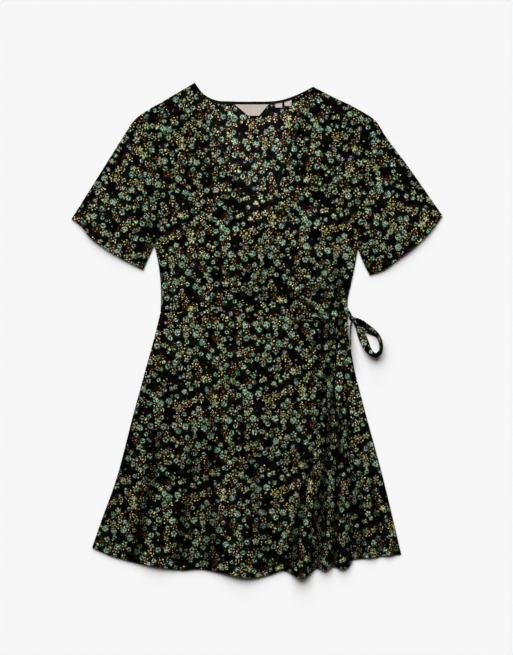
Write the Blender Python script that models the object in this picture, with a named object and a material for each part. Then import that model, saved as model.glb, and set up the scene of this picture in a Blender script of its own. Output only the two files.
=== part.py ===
"""A short-sleeved wrap dress, laid flat on its back.

Metres, +Z up. The dress lies in the XY plane: +Y runs from the hem to the neck, and +X from one cuff to
the other. The origin is on the surface that the dress lies on, under the middle of its outline. Left and
right are as seen from above. The cloth lies in layers: the back, then the under front that crosses first,
then the over front with its gathers towards the side tie. Each sleeve is a flattened tube.
"""

from collections import namedtuple

import bpy
import numpy as np

# ---- Driving dimensions ------------------------------------------------------------------------------
MM = 0.001
CLOTH = 1.5 * MM  # one laid layer, with its seam allowances and hems
GAP = 0.3 * MM  # between neighbouring pieces, at seams and between layers
LAYER = CLOTH + GAP
STRAP_WIDTH = 14.0 * MM  # the tie, a strap of doubled cloth
STRAP_THICKNESS = 1.6 * MM
STRAP_CLEAR = 8 * MM  # how far round its line a strap lying on the skirt looks for the skirt's height
BINDING_WIDTH = 5.0 * MM
TRIM = 1.0 * MM  # thickness of the binding and the labels
SLEEVE_PUFF = 3.3 * MM  # how far a cuff's upper layer stands off the lower one
LIFT_SHARE = 0.1  # share of the over front's width in which it climbs onto the under front
ARMHOLE_STEPS = 10  # the same on every piece that meets at an armhole
SIDE_STEPS = 4  # the same on every bodice piece that meets at a side seam
UNDER_PLAIN, OVER_PLAIN = 0.68, 0.58  # the share of each skirt front with coarse columns, left of its folds
BODICE_PLAIN = 0.5  # the same for the over bodice
BINDING_SPAN = (0.12, 0.93)  # where along the back neck the binding shows between the fronts
PUFF_RATE = 1.3  # a sleeve reaches its full puff before the cuff

Spot = namedtuple("Spot", "across up")  # a place on the laid dress, in millimetres
Fold = namedtuple("Fold", "start end width_start width_end height_start height_end")
Swell = namedtuple("Swell", "centre radius height")
Station = namedtuple("Station", "across up rise tilt share")  # a section of the tie; share of its width
Label = namedtuple("Label", "name top bottom drop")  # its two edges' reach across, and its length down

# ---- Corners that several pieces share ---------------------------------------------------------------
NECK_LEFT = Spot(-111, 442)
NECK_RIGHT = Spot(100, 435)
SHOULDER_LEFT = Spot(-172, 406)
SHOULDER_RIGHT = Spot(167, 402)
UNDERARM_LEFT = Spot(-183, 152)
UNDERARM_RIGHT = Spot(180, 147)
WAIST_LEFT = Spot(-172, 32)
WAIST_RIGHT = Spot(162, 34)
TIE_CORNER = Spot(161, 20)
HEM_LEFT = Spot(-294, -387)
HEM_RIGHT = Spot(257, -399)
WRAP_HEM = Spot(170, -413)
LAP_WAIST = Spot(-126, 33)
LAP_HEM = Spot(-150, -416)
CUFF_LEFT_OUTER = Spot(-331, 199)
CUFF_LEFT_INNER = Spot(-203, 108)
CUFF_RIGHT_OUTER = Spot(331, 205)
CUFF_RIGHT_INNER = Spot(201, 99)

# ---- Seams and edges: the corners, with the spots that shape the line between them -------------------
SHOULDER_SEAM_LEFT = [SHOULDER_LEFT, Spot(-152, 418), NECK_LEFT]
SHOULDER_SEAM_RIGHT = [SHOULDER_RIGHT, Spot(137, 416), NECK_RIGHT]
BACK_NECK = [
    NECK_LEFT, Spot(-100, 427), Spot(-91, 419), Spot(-73, 411), Spot(-46, 409),
    Spot(-10, 408.5), Spot(46, 412), Spot(72, 421), NECK_RIGHT,
]
ARMHOLE_LEFT = [
    SHOULDER_LEFT, Spot(-156, 378), Spot(-149, 339), Spot(-149, 277), Spot(-158, 223),
    Spot(-173, 182), UNDERARM_LEFT,
]
ARMHOLE_RIGHT = [
    SHOULDER_RIGHT, Spot(154, 378), Spot(149, 339), Spot(150, 277), Spot(156, 223),
    Spot(171, 182), UNDERARM_RIGHT,
]
SIDE_LEFT = [UNDERARM_LEFT, Spot(-177, 127), Spot(-172, 89), Spot(-171, 54), WAIST_LEFT]
SIDE_RIGHT = [UNDERARM_RIGHT, Spot(174, 114), Spot(167, 80), Spot(161.5, 54), WAIST_RIGHT]
SKIRT_LEFT = [
    WAIST_LEFT, Spot(-181, -5), Spot(-199, -71), Spot(-220, -148), Spot(-254, -275),
    Spot(-277, -338), HEM_LEFT,
]
SKIRT_RIGHT = [
    WAIST_RIGHT, Spot(162, -3), Spot(168, -38), Spot(174, -71), Spot(188, -127),
    Spot(223, -257), HEM_RIGHT,
]
OVER_NECKLINE = [
    NECK_LEFT, Spot(-101, 398), Spot(-56, 302), Spot(-12, 205), Spot(40, 143), Spot(78, 96),
    Spot(122, 55), TIE_CORNER,
]
UNDER_NECKLINE = [
    NECK_RIGHT, Spot(92, 416), Spot(60, 321), Spot(15, 193), Spot(-29, 129), Spot(-79, 80), LAP_WAIST,
]
OVER_WAIST = [WAIST_LEFT, Spot(-21, 33), Spot(51, 25), Spot(113, 18), TIE_CORNER]
WRAP_EDGE = [
    TIE_CORNER, Spot(160, -27), Spot(162, -125), Spot(166, -250), Spot(168, -339), WRAP_HEM,
]
OVER_HEM = [
    HEM_LEFT, Spot(-267, -399.5), Spot(-232, -410), Spot(-179, -421), Spot(-131, -427), Spot(-103, -425),
    Spot(-74, -430), Spot(-12, -441), Spot(24, -435), Spot(49, -428), Spot(65, -436), Spot(79, -442),
    Spot(94, -434), Spot(106, -424), Spot(121, -427), Spot(136, -421), Spot(150, -425), Spot(162, -422),
    WRAP_HEM,
]
UNDER_HEM = [LAP_HEM, Spot(-12, -425), Spot(79, -420), Spot(174, -408.5), HEM_RIGHT]
BACK_HEM = [
    HEM_LEFT, Spot(-232, -406), Spot(-131, -420), Spot(-12, -427), Spot(79, -419), Spot(174, -407.5),
    HEM_RIGHT,
]
SLEEVE_FOLD_LEFT = [
    SHOULDER_LEFT, Spot(-194, 394), Spot(-219, 375), Spot(-238, 347), Spot(-273, 291), CUFF_LEFT_OUTER,
]
SLEEVE_FOLD_RIGHT = [
    SHOULDER_RIGHT, Spot(192, 388), Spot(211, 375), Spot(227, 350), Spot(265.5, 298), CUFF_RIGHT_OUTER,
]
SLEEVE_UNDER_LEFT = [UNDERARM_LEFT, Spot(-193, 131), CUFF_LEFT_INNER]
SLEEVE_UNDER_RIGHT = [UNDERARM_RIGHT, Spot(190, 121), CUFF_RIGHT_INNER]
CUFF_LEFT = [
    CUFF_LEFT_OUTER, Spot(-316, 188), Spot(-298, 166), Spot(-274, 148), Spot(-240, 127.5), CUFF_LEFT_INNER,
]
CUFF_RIGHT = [
    CUFF_RIGHT_OUTER, Spot(313.5, 181), Spot(285, 152.5), Spot(250, 125.5), Spot(224, 107), CUFF_RIGHT_INNER,
]
LABELS = [  # their tops run along the binding's lower edge
    Label("neck_label", top=(-40, 21), bottom=(-16, 4), drop=20),
    Label("size_tab", top=(33, 45), bottom=(33, 45), drop=7.5),
    Label("care_tab", top=(49, 61.5), bottom=(49.5, 61.5), drop=8.5),
]

# ---- Relief of the fronts: places, widths and heights in millimetres ---------------------------------
GATHERS = [  # ridges that fan out from the tie; the last three run to the hem
    Fold(Spot(128, 14), Spot(84, -95), 10, 26, 2.0, 0.6),
    Fold(Spot(138, 12), Spot(104, -120), 10, 24, 2.4, 0.8),
    Fold(Spot(145, 10), Spot(79, -442), 10, 50, 3.0, 13.0),
    Fold(Spot(151, 10), Spot(122, -427), 9, 32, 3.0, 8.0),
    Fold(Spot(156, 10), Spot(154, -421), 8, 28, 2.4, 6.5),
]
DRAGS = [  # soft folds drawn from the tie up across the over front's bodice
    Fold(Spot(142, 26), Spot(20, 92), 12, 34, 2.6, 0.8),
    Fold(Spot(136, 20), Spot(-10, 48), 10, 30, 2.2, 0.6),
]
HEM_WAVES = [  # broad shallow waves in the left half of the over skirt
    Fold(Spot(-120, -60), Spot(-181, -420), 50, 92, 0.6, 5.0),
    Fold(Spot(-60, -90), Spot(-30, -440), 60, 120, 0.6, 6.5),
]
UNDER_WAVES = [  # folds of the under skirt where it shows beside the wrap edge
    Fold(Spot(186, -150), Spot(205, -408), 12, 34, 0.4, 4.5),
    Fold(Spot(205, -215), Spot(236, -404), 10, 30, 0.4, 3.6),
]
OVER_BUST = Swell(Spot(-62, 165), 75, 4.5)
UNDER_BUST = Swell(Spot(100, 170), 60, 3.5)

# ---- The tie, a section in each row ------------------------------------------------------------------
KNOT_CENTRE = Spot(167.7, 21)
KNOT_RADII = np.array([5.3, 6.0, 4.6]) * MM
KNOT_REST = 0.4 * MM
KNOT_SQUARE = 0.85  # the power that squares the knot's round sections a little
LOOP = [  # out along the upper leg, round the bend on edge, and back under it
    Station(175.1, 20.5, 4.4, 0, 0.43),
    Station(179, 17, 4.2, 3, 0.71),
    Station(186, 12.2, 3.8, 6, 0.9),
    Station(197, 3.4, 2.2, 14, 0.93),
    Station(210.4, -7.2, 0.6, 62, 1),
    Station(218, -18.8, 0.4, 65, 1),
    Station(221, -30.3, 0.4, 64, 1),
    Station(218, -40.3, 0.4, 60, 1),
    Station(210.5, -44.7, 0.4, 57, 1),
    Station(202, -41, 0.4, 50, 1),
    Station(195.3, -32, 0.4, 34, 1),
    Station(190.8, -21.5, 0.4, 14, 1),
    Station(186.2, -11, 0.4, 4, 1),
    Station(181, 2, 0.4, 0, 0.86),
    Station(176.4, 11, 0.6, 0, 0.64),
    Station(173.4, 14.6, 1.4, 0, 0.5),
]
END_LONG = [  # down beside the waist on edge, then flat on the skirts
    Station(168, 14.6, 2.0, 72, 0.57),
    Station(166.8, 4, 0.6, 85, 0.8),
    Station(166.4, -8, 0.6, 86, 0.86),
    Station(166, -21, 0.6, 78, 0.9),
    Station(163, -37, 0.5, 50, 1),
    Station(163.6, -58, 0.3, 14, 1),
    Station(166.4, -88, 0.3, 0, 1),
    Station(170, -120, 0.3, 0, 1),
    Station(173.6, -150, 0.3, 0, 1),
    Station(176.6, -182, 0.3, 0, 1),
]
END_SHORT = [  # down over the gathers of the over skirt
    Station(161.5, 13.6, 0.5, 0, 0.5),
    Station(157.4, 2, 0.4, 0, 0.71),
    Station(153, -20, 0.3, 0, 0.93),
    Station(149, -45, 0.3, 0, 1),
    Station(147, -75, 0.3, 0, 1),
    Station(146.6, -105, 0.3, 0, 1),
    Station(148.4, -134, 0.3, 0, 1),
]

CLOTH_COLOUR = (0.040, 0.048, 0.038)
LABEL_COLOUR = (0.78, 0.70, 0.62)
BINDING_COLOUR = (0.012, 0.012, 0.012)


# ---- Lines -------------------------------------------------------------------------------------------
def smooth_line(spots, fractions):
    """The points at the given shares of the length of a smooth curve through the spots, in metres."""
    knots = np.array(spots, float)[:, :2] * MM
    if len(knots) == 2:
        return knots[0] + np.asarray(fractions)[:, None] * (knots[1] - knots[0])
    chord = np.linalg.norm(np.diff(knots, axis=0), axis=1)
    at = np.concatenate([[0], np.cumsum(chord)])
    slope = np.gradient(knots, at, axis=0)
    fine = np.linspace(0, at[-1], 400)
    span = np.clip(np.searchsorted(at, fine, side="right") - 1, 0, len(chord) - 1)
    t = ((fine - at[span]) / chord[span])[:, None]
    start, end = knots[span], knots[span + 1]
    pull_start, pull_end = slope[span] * chord[span, None], slope[span + 1] * chord[span, None]
    curve = (
        (2 * t**3 - 3 * t**2 + 1) * start + (t**3 - 2 * t**2 + t) * pull_start
        + (3 * t**2 - 2 * t**3) * end + (t**3 - t**2) * pull_end
    )
    run = np.concatenate([[0], np.cumsum(np.linalg.norm(np.diff(curve, axis=0), axis=1))])
    where = np.asarray(fractions) * run[-1]
    return np.stack([np.interp(where, run, curve[:, k]) for k in (0, 1)], axis=1)


def even(count):
    """The shares 0 to 1 in so many equal steps."""
    return np.linspace(0, 1, count + 1)


def two_rates(split, coarse, fine):
    """The shares 0 to 1 with coarse steps up to the split and fine ones after it."""
    return np.concatenate([np.linspace(0, split, coarse + 1), np.linspace(split, 1, fine + 1)[1:]])


def joined(*lines):
    """Lines end to end, without the points that two of them share."""
    return np.concatenate([lines[0]] + [line[1:] for line in lines[1:]])


def set_back(line, distance):
    """The line moved to the left of its own direction by the distance, end points included."""
    along = np.gradient(line, axis=0)
    along /= np.linalg.norm(along, axis=1, keepdims=True)
    return line + distance * np.stack([-along[:, 1], along[:, 0]], axis=1)


def patch(top, bottom, left, right):
    """A grid of places between four edges (a Coons patch): rows run from top to bottom."""
    left, right = left.copy(), right.copy()
    left[0], left[-1], right[0], right[-1] = top[0], bottom[0], top[-1], bottom[-1]
    rows, columns = len(left), len(top)
    v = even(rows - 1)[:, None, None]
    u = share_along(top)[None, :, None]
    between = (1 - v) * top[None] + v * bottom[None] + (1 - u) * left[:, None] + u * right[:, None]
    corners = (
        (1 - v) * (1 - u) * top[0] + (1 - v) * u * top[-1]
        + v * (1 - u) * bottom[0] + v * u * bottom[-1]
    )
    return (between - corners).reshape(rows, columns, 2)


def share_along(line):
    """How far along the line each of its points is, from 0 to 1."""
    run = np.concatenate([[0], np.cumsum(np.linalg.norm(np.diff(line, axis=0), axis=1))])
    return run / run[-1]


# ---- Heights -----------------------------------------------------------------------------------------
def ease(share):
    """A soft step: 0 below 0, 1 above 1, level at both ends."""
    share = np.clip(share, 0, 1)
    return share * share * (3 - 2 * share)


def ridge(fold, place):
    """The height of one fold: a raised cosine across its line, whose width and height change along it."""
    start, end = np.array(fold.start) * MM, np.array(fold.end) * MM
    along = end - start
    t = np.clip(((place - start) @ along) / (along @ along), 0, 1)
    off = np.linalg.norm(place - (start + t[..., None] * along), axis=-1)
    width = (fold.width_start + t * (fold.width_end - fold.width_start)) * MM
    height = (fold.height_start + t * (fold.height_end - fold.height_start)) * MM
    return height * (0.5 + 0.5 * np.cos(2 * np.pi * np.clip(off / width, 0, 0.5)))


def swell(bump, place):
    """A soft round rise, a bell curve about its centre."""
    off = np.linalg.norm(place - np.array(bump.centre) * MM, axis=-1)
    return bump.height * MM * np.exp(-((off / (bump.radius * MM)) ** 2))


def highest(folds, place):
    return np.max([ridge(fold, place) for fold in folds], axis=0)


def under_rise(place):
    """How far the under front stands above its flat lie."""
    return swell(UNDER_BUST, place) + highest(UNDER_WAVES, place)


def over_rise(place):
    """How far the over front stands above its flat lie: the under front's form and its own folds."""
    waves = sum(ridge(fold, place) for fold in HEM_WAVES)
    own = np.maximum(highest(GATHERS, place), highest(DRAGS, place))
    return swell(UNDER_BUST, place) + swell(OVER_BUST, place) + np.maximum(own, waves)


def skirt_top(place):
    """The height of what lies uppermost in the skirt, on and beside the side tie's line."""
    wrap_across = np.interp(-place[..., 1], -WRAP_LINE[:, 1], WRAP_LINE[:, 0])
    side_across = np.interp(-place[..., 1], -SIDE_LINE[:, 1], SIDE_LINE[:, 0])
    over = 2 * LAYER + CLOTH + over_rise(place)
    under = LAYER + CLOTH + under_rise(place)
    beside = np.where(place[..., 0] < side_across, under, 0.0)
    return np.where(place[..., 0] < wrap_across, over, beside)


WRAP_LINE = smooth_line(WRAP_EDGE, even(40))
SIDE_LINE = joined(smooth_line(SIDE_RIGHT, even(20)), smooth_line(SKIRT_RIGHT, even(40)))


# ---- Solids ------------------------------------------------------------------------------------------
def material(name, colour, roughness):
    finish = bpy.data.materials.new(name)
    finish.use_nodes = True
    shader = finish.node_tree.nodes["Principled BSDF"]
    shader.inputs["Base Color"].default_value = (*colour, 1)
    shader.inputs["Roughness"].default_value = roughness
    shader.inputs["Metallic"].default_value = 0
    return finish


def add_object(name, points, faces, colour, roughness=0.85):
    """A mesh object of the points and faces, with a material of its own."""
    mesh = bpy.data.meshes.new(name)
    mesh.from_pydata(np.asarray(points).tolist(), [], faces)
    mesh.materials.append(material(name, colour, roughness))
    mesh.validate()
    piece = bpy.data.objects.new(name, mesh)
    bpy.context.scene.collection.objects.link(piece)
    return piece


def flat_panel(name, outline, low, thickness, colour):
    """An outline, counter-clockwise from above, as a flat sheet."""
    count = len(outline)
    under = np.column_stack([outline, np.full(count, low)])
    upper = np.column_stack([outline, np.full(count, low + thickness)])
    rim = [(i, (i + 1) % count, (i + 1) % count + count, i + count) for i in range(count)]
    faces = [tuple(range(count))[::-1], tuple(range(count, 2 * count)), *rim]
    return add_object(name, np.concatenate([under, upper]), faces, colour)


def laid_sheet(name, places, low, colour, thickness=CLOTH):
    """A grid of places with the height of its underside, as a sheet with a rim all round.

    Rows run down the dress and columns to the right, so a face's corners go down, right, up.
    """
    rows, columns = low.shape
    size = rows * columns
    under = np.concatenate([places, low[..., None]], axis=2).reshape(size, 3)
    upper = under + [0, 0, thickness]
    index = np.arange(size).reshape(rows, columns)
    top = [
        (index[i, j], index[i + 1, j], index[i + 1, j + 1], index[i, j + 1])
        for i in range(rows - 1) for j in range(columns - 1)
    ]
    edge = [*index[:, 0], *index[-1, 1:], *index[-2::-1, -1], *index[0, -2:0:-1]]
    rim = [(a, b, b + size, a + size) for a, b in zip(edge, edge[1:] + edge[:1], strict=True)]
    faces = [tuple(i + size for i in face) for face in top] + [face[::-1] for face in top] + rim
    return add_object(name, np.concatenate([under, upper]), [tuple(map(int, f)) for f in faces], colour)


def tube_between(name, outer, inner, flip, colour):
    """Outer and inner rings, a row each from the armhole to the cuff, as a wall open at both ends."""
    rows, count = outer.shape[:2]
    points = np.concatenate([outer.reshape(-1, 3), inner.reshape(-1, 3)])
    size = rows * count
    faces = []
    for i in range(rows - 1):
        for j in range(count):
            k = (j + 1) % count
            a, b, c, d = i * count + j, i * count + k, (i + 1) * count + k, (i + 1) * count + j
            faces += [(a, b, c, d), (d + size, c + size, b + size, a + size)]
    for j in range(count):
        k = (j + 1) % count
        last = (rows - 1) * count
        faces += [(k, j, j + size, k + size), (last + j, last + k, last + k + size, last + j + size)]
    if flip:
        faces = [face[::-1] for face in faces]
    return add_object(name, points, faces, colour)


def strap(name, stations, ground, colour):
    """A strap through its stations: a flat bar that tilts about its own line, over the ground's height."""
    line = np.array([[s.across, s.up] for s in stations]) * MM
    along = np.gradient(line, axis=0)
    along /= np.linalg.norm(along, axis=1, keepdims=True)
    left = np.stack([-along[:, 1], along[:, 0]], axis=1)
    tilt = np.radians([s.tilt for s in stations])
    half = np.array([s.share for s in stations]) * STRAP_WIDTH / 2
    wide = np.column_stack([left * np.cos(tilt)[:, None], np.sin(tilt)]) * half[:, None]
    thick = np.column_stack([-left * np.sin(tilt)[:, None], np.cos(tilt)]) * STRAP_THICKNESS / 2
    reach = np.abs(wide[:, 2]) + np.abs(thick[:, 2])
    middle = np.column_stack([line, ground + np.array([s.rise for s in stations]) * MM + reach])
    rings = np.stack([middle + wide + thick, middle - wide + thick, middle - wide - thick,
                      middle + wide - thick], axis=1)
    count = len(stations)
    faces = [(3, 2, 1, 0), tuple(4 * (count - 1) + k for k in range(4))]
    for i in range(count - 1):
        for j in range(4):
            k = (j + 1) % 4
            faces.append((4 * i + j, 4 * i + k, 4 * i + 4 + k, 4 * i + 4 + j))
    return add_object(name, rings.reshape(-1, 3), faces, colour)


def ground_under(stations):
    """The highest of the skirt under each station of a strap, its neighbourhood included."""
    line = np.array([[s.across, s.up] for s in stations]) * MM
    reach = STRAP_CLEAR * np.linspace(-1, 1, 7)
    near = line[:, None, None, :] + np.stack(np.meshgrid(reach, reach), axis=-1).reshape(1, -1, 1, 2)
    return skirt_top(near).max(axis=(1, 2))


# ---- Pieces of the dress -----------------------------------------------------------------------------
def armhole(spots, side):
    """An armhole's points from the shoulder down, moved by half the seam's gap: +1 left, -1 right."""
    return set_back(smooth_line(spots, even(ARMHOLE_STEPS)), side * GAP / 2)


def back_bodice():
    left = joined(armhole(ARMHOLE_LEFT, 1), smooth_line(SIDE_LEFT, even(SIDE_STEPS)))
    right = joined(armhole(ARMHOLE_RIGHT, -1), smooth_line(SIDE_RIGHT, even(SIDE_STEPS)))
    neck = joined(
        smooth_line(SHOULDER_SEAM_LEFT, even(3)),
        smooth_line(BACK_NECK, even(18)),
        smooth_line(SHOULDER_SEAM_RIGHT, even(3))[::-1],
    )
    left[-1, 1] += GAP / 2
    right[-1, 1] += GAP / 2
    outline = np.concatenate([left, right[::-1], neck[::-1][1:-1]])
    flat_panel("back_bodice", outline, 0.0, CLOTH, CLOTH_COLOUR)


def back_skirt():
    left = smooth_line(SKIRT_LEFT, even(8))
    right = smooth_line(SKIRT_RIGHT, even(8))
    left[0, 1] -= GAP / 2
    right[0, 1] -= GAP / 2
    hem = smooth_line(BACK_HEM, even(16))
    outline = np.concatenate([left, hem[1:-1], right[::-1]])
    flat_panel("back_skirt", outline, 0.0, CLOTH, CLOTH_COLOUR)


def under_bodice():
    right = joined(armhole(ARMHOLE_RIGHT, -1), smooth_line(SIDE_RIGHT, even(SIDE_STEPS)))
    left = smooth_line(UNDER_NECKLINE, even(len(right) - 1))
    columns = even(12)
    top = smooth_line(SHOULDER_SEAM_RIGHT[::-1], columns)
    waist = smooth_line([LAP_WAIST, WAIST_RIGHT], columns) + [0, GAP / 2]
    places = patch(top, waist, left, right)
    laid_sheet("under_bodice", places, LAYER + under_rise(places), CLOTH_COLOUR)


def under_skirt():
    columns = two_rates(UNDER_PLAIN, 4, 12)
    waist = smooth_line([LAP_WAIST, WAIST_RIGHT], columns) - [0, GAP / 2]
    hem = smooth_line(UNDER_HEM, columns)
    lap = smooth_line([LAP_WAIST, LAP_HEM], even(13))
    side = smooth_line(SKIRT_RIGHT, even(13))
    places = patch(waist, hem, lap, side)
    laid_sheet("under_skirt", places, LAYER + under_rise(places), CLOTH_COLOUR)


def over_low(places, from_left, from_top):
    """The underside of the over front: it climbs from the side seam onto the under front."""
    climb = ease(from_left / LIFT_SHARE) * ease(from_top / LIFT_SHARE)
    return LAYER + climb * LAYER + over_rise(places)


def over_bodice():
    left = joined(armhole(ARMHOLE_LEFT, 1), smooth_line(SIDE_LEFT, even(2 * SIDE_STEPS)))
    right = smooth_line(OVER_NECKLINE, even(len(left) - 1))
    columns = two_rates(BODICE_PLAIN, 7, 13)
    top = smooth_line(SHOULDER_SEAM_LEFT, columns)
    waist = smooth_line(OVER_WAIST, columns) + [0, GAP / 2]
    places = patch(top, waist, left, right)
    low = over_low(places, columns[None, :], even(len(left) - 1)[:, None])
    laid_sheet("over_bodice", places, low, CLOTH_COLOUR)


def over_skirt():
    columns = two_rates(OVER_PLAIN, 14, 30)
    rows = even(18)
    waist = smooth_line(OVER_WAIST, columns) - [0, GAP / 2]
    hem = smooth_line(OVER_HEM, columns)
    side = smooth_line(SKIRT_LEFT, rows)
    wrap = smooth_line(WRAP_EDGE, rows)
    places = patch(waist, hem, side, wrap)
    low = over_low(places, columns[None, :], np.ones((len(rows), 1)))
    laid_sheet("over_skirt", places, low, CLOTH_COLOUR)


def sleeve(name, armhole_spots, fold, cuff, under, side):
    """A flattened tube: a flat lower layer, an upper one that swells towards the cuff, and their edges."""
    across, down = even(ARMHOLE_STEPS), even(8)
    places = patch(
        armhole(armhole_spots, -side),
        smooth_line(cuff, across),
        smooth_line(fold, down),
        smooth_line(under, down),
    )
    puff = SLEEVE_PUFF * ease(PUFF_RATE * down)[:, None] * np.sin(np.pi * across)[None, :]
    outer_top = 2 * CLOTH + GAP + puff
    inset = places.copy()
    for edge, next_in in ((0, 1), (-1, -2)):
        step = places[:, next_in] - places[:, edge]
        inset[:, edge] += step * (CLOTH / np.linalg.norm(step, axis=1, keepdims=True))
    rows = len(down)
    flat = np.zeros((rows, len(across)))

    def ring(plan, low, high):
        lower = np.concatenate([plan, low[..., None]], axis=2)
        upper = np.concatenate([plan, high[..., None]], axis=2)
        return np.concatenate([lower, upper[:, ::-1]], axis=1)

    outer = ring(places, flat, outer_top)
    inner = ring(inset, flat + CLOTH, outer_top - CLOTH)
    tube_between(name, outer, inner, side < 0, CLOTH_COLOUR)


def neck_binding():
    """A bias strip along the inside of the back neck, between the two fronts."""
    edge = smooth_line(BACK_NECK, np.linspace(*BINDING_SPAN, 20))
    inside = set_back(edge, -BINDING_WIDTH)
    outline = np.concatenate([inside, edge[::-1]])
    flat_panel("neck_binding", outline, LAYER, TRIM, BINDING_COLOUR)


def labels():
    """Bare labels that hang from the binding: a top that follows it, and a straight lower edge."""
    hung_from = set_back(smooth_line(BACK_NECK, even(60)), -(BINDING_WIDTH + GAP))
    for label in LABELS:
        across = np.linspace(*label.top, 6) * MM
        top = np.column_stack([across, np.interp(across, hung_from[:, 0], hung_from[:, 1])])
        foot = top[:, 1].mean() - label.drop * MM
        bottom = np.column_stack([np.array(label.bottom) * MM, [foot, foot]])
        flat_panel(label.name, np.concatenate([bottom, top[::-1]]), LAYER, TRIM, LABEL_COLOUR)


def tie_knot():
    """A rounded lump: a sphere whose sections are squared off, resting just above the surface."""
    bpy.ops.mesh.primitive_uv_sphere_add(segments=16, ring_count=10, radius=1.0)
    piece = bpy.context.object
    piece.name = "tie_knot"
    piece.data.name = "tie_knot"
    middle = np.array([KNOT_CENTRE.across * MM, KNOT_CENTRE.up * MM, KNOT_REST + KNOT_RADII[2]])
    for vertex in piece.data.vertices:
        direction = np.array(vertex.co)
        squared = np.sign(direction) * np.abs(direction) ** KNOT_SQUARE
        vertex.co = middle + squared * KNOT_RADII
    piece.data.materials.append(material("tie_knot", CLOTH_COLOUR, 0.85))
    piece.data.shade_smooth()


def tie():
    tie_knot()
    strap("tie_loop", LOOP, np.zeros(len(LOOP)), CLOTH_COLOUR)
    strap("tie_end_long", END_LONG, ground_under(END_LONG), CLOTH_COLOUR)
    strap("tie_end_short", END_SHORT, ground_under(END_SHORT), CLOTH_COLOUR)


def clear_scene():
    for existing in list(bpy.data.objects):
        bpy.data.objects.remove(existing, do_unlink=True)


clear_scene()
back_bodice()
back_skirt()
under_bodice()
under_skirt()
over_bodice()
over_skirt()
sleeve("sleeve_left", ARMHOLE_LEFT, SLEEVE_FOLD_LEFT, CUFF_LEFT, SLEEVE_UNDER_LEFT, 1)
sleeve("sleeve_right", ARMHOLE_RIGHT, SLEEVE_FOLD_RIGHT, CUFF_RIGHT, SLEEVE_UNDER_RIGHT, -1)
neck_binding()
labels()
tie()
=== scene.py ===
# %% [markdown]
# # A short-sleeved wrap dress, laid flat
#
# A wrap dress is cut from thin printed cloth: a back, two fronts that cross, a skirt on each, two short
# sleeves and a tie at the side. Laid on a table it is only a few millimetres thick, so what tells the eye
# that it is cloth is small: edges that roll over, seams that sink, folds that fan out from the tie, and a
# print that bends with them. This lesson builds each cut piece as a thin shell over the solid model of
# the dress, then prints the cloth with a small flower pattern that is drawn by shader maths alone.
#
# The solid model is the frame. It is loaded first.

# %% Load the frame
import math
from collections import namedtuple

import bpy
import numpy as np
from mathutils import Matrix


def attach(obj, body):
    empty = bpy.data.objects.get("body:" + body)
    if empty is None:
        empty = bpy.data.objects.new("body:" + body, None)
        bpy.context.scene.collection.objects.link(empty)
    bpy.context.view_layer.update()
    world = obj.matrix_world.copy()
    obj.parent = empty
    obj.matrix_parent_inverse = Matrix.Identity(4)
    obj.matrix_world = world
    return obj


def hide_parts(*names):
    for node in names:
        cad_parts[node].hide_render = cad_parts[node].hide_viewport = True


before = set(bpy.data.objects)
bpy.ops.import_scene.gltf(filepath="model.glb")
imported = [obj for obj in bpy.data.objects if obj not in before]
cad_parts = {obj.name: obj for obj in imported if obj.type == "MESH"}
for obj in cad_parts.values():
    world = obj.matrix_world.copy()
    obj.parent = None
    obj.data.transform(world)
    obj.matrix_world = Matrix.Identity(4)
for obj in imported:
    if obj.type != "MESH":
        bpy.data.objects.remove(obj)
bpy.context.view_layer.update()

scene = bpy.context.scene
print("solid pieces:", sorted(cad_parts))

# %% [markdown]
# ## Camera and light
#
# A garment that is laid out is best seen from straight above. A long lens a few metres up keeps the
# outline true, because little of it leans outwards. Two broad soft lamps stand beyond the neck end, one
# of them round to the side, so that hems and cuffs drop a short shadow towards the viewer's feet and a
# fold has a light flank and a dark one. An even sky, a little brown, fills the rest. A sun lamp with a
# wide angle gives the same light all over the floor, where an area lamp would fade.

# %% Camera
MM = 0.001
VIEW_HEIGHT = 1169.2 * MM  # what the frame's long side takes in
VIEW_CENTRE = (-0.9 * MM, 5.4 * MM)
CAMERA_UP = 5.0
SENSOR = 36.0

camera_data = bpy.data.cameras.new("camera")
camera_data.sensor_width = SENSOR
camera_data.lens = SENSOR * CAMERA_UP / VIEW_HEIGHT
camera = bpy.data.objects.new("camera", camera_data)
camera.location = (*VIEW_CENTRE, CAMERA_UP)
scene.collection.objects.link(camera)
scene.camera = camera
print("lens", round(camera_data.lens, 1), "mm")

# %% Light
SKY = 0.07
SKY_TINT = (1.0, 0.86, 0.72)  # shadows lit by the sky alone are brown
LAMP_TINT = (0.981, 0.990, 1.0)  # which the lamps make up for
LAMPS = [  # name, turn about X and Z in degrees, strength, angle that the lamp fills
    ("soft_lamp", -50, 6, 4.39, 60),
    ("side_lamp", -50, 44, 0.65, 40),
]
world = bpy.data.worlds.new("studio")
world.use_nodes = True
world.node_tree.nodes["Background"].inputs["Color"].default_value = (*SKY_TINT, 1)
world.node_tree.nodes["Background"].inputs["Strength"].default_value = SKY
scene.world = world
for name, lean, turn, strength, spread in LAMPS:
    lamp = bpy.data.lights.new(name, "SUN")
    lamp.energy = strength
    lamp.color = LAMP_TINT
    lamp.angle = math.radians(spread)
    holder = bpy.data.objects.new(name, lamp)
    holder.rotation_euler = (math.radians(lean), 0, math.radians(turn))
    scene.collection.objects.link(holder)
scene.view_settings.view_transform = "Standard"
scene.view_settings.look = "None"
print("lamps:", [name for name, *_ in LAMPS], "sky", SKY)

# %% [markdown]
# ## Shader maths as expressions
#
# The print, the weave and the labels are drawn by nodes. Wired by hand they would be a thicket, so one
# small class wraps a number socket and lets it be added, multiplied and compared, and each operator adds
# the Math node that it stands for. Every other node comes from one method of the material's own class.

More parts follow.
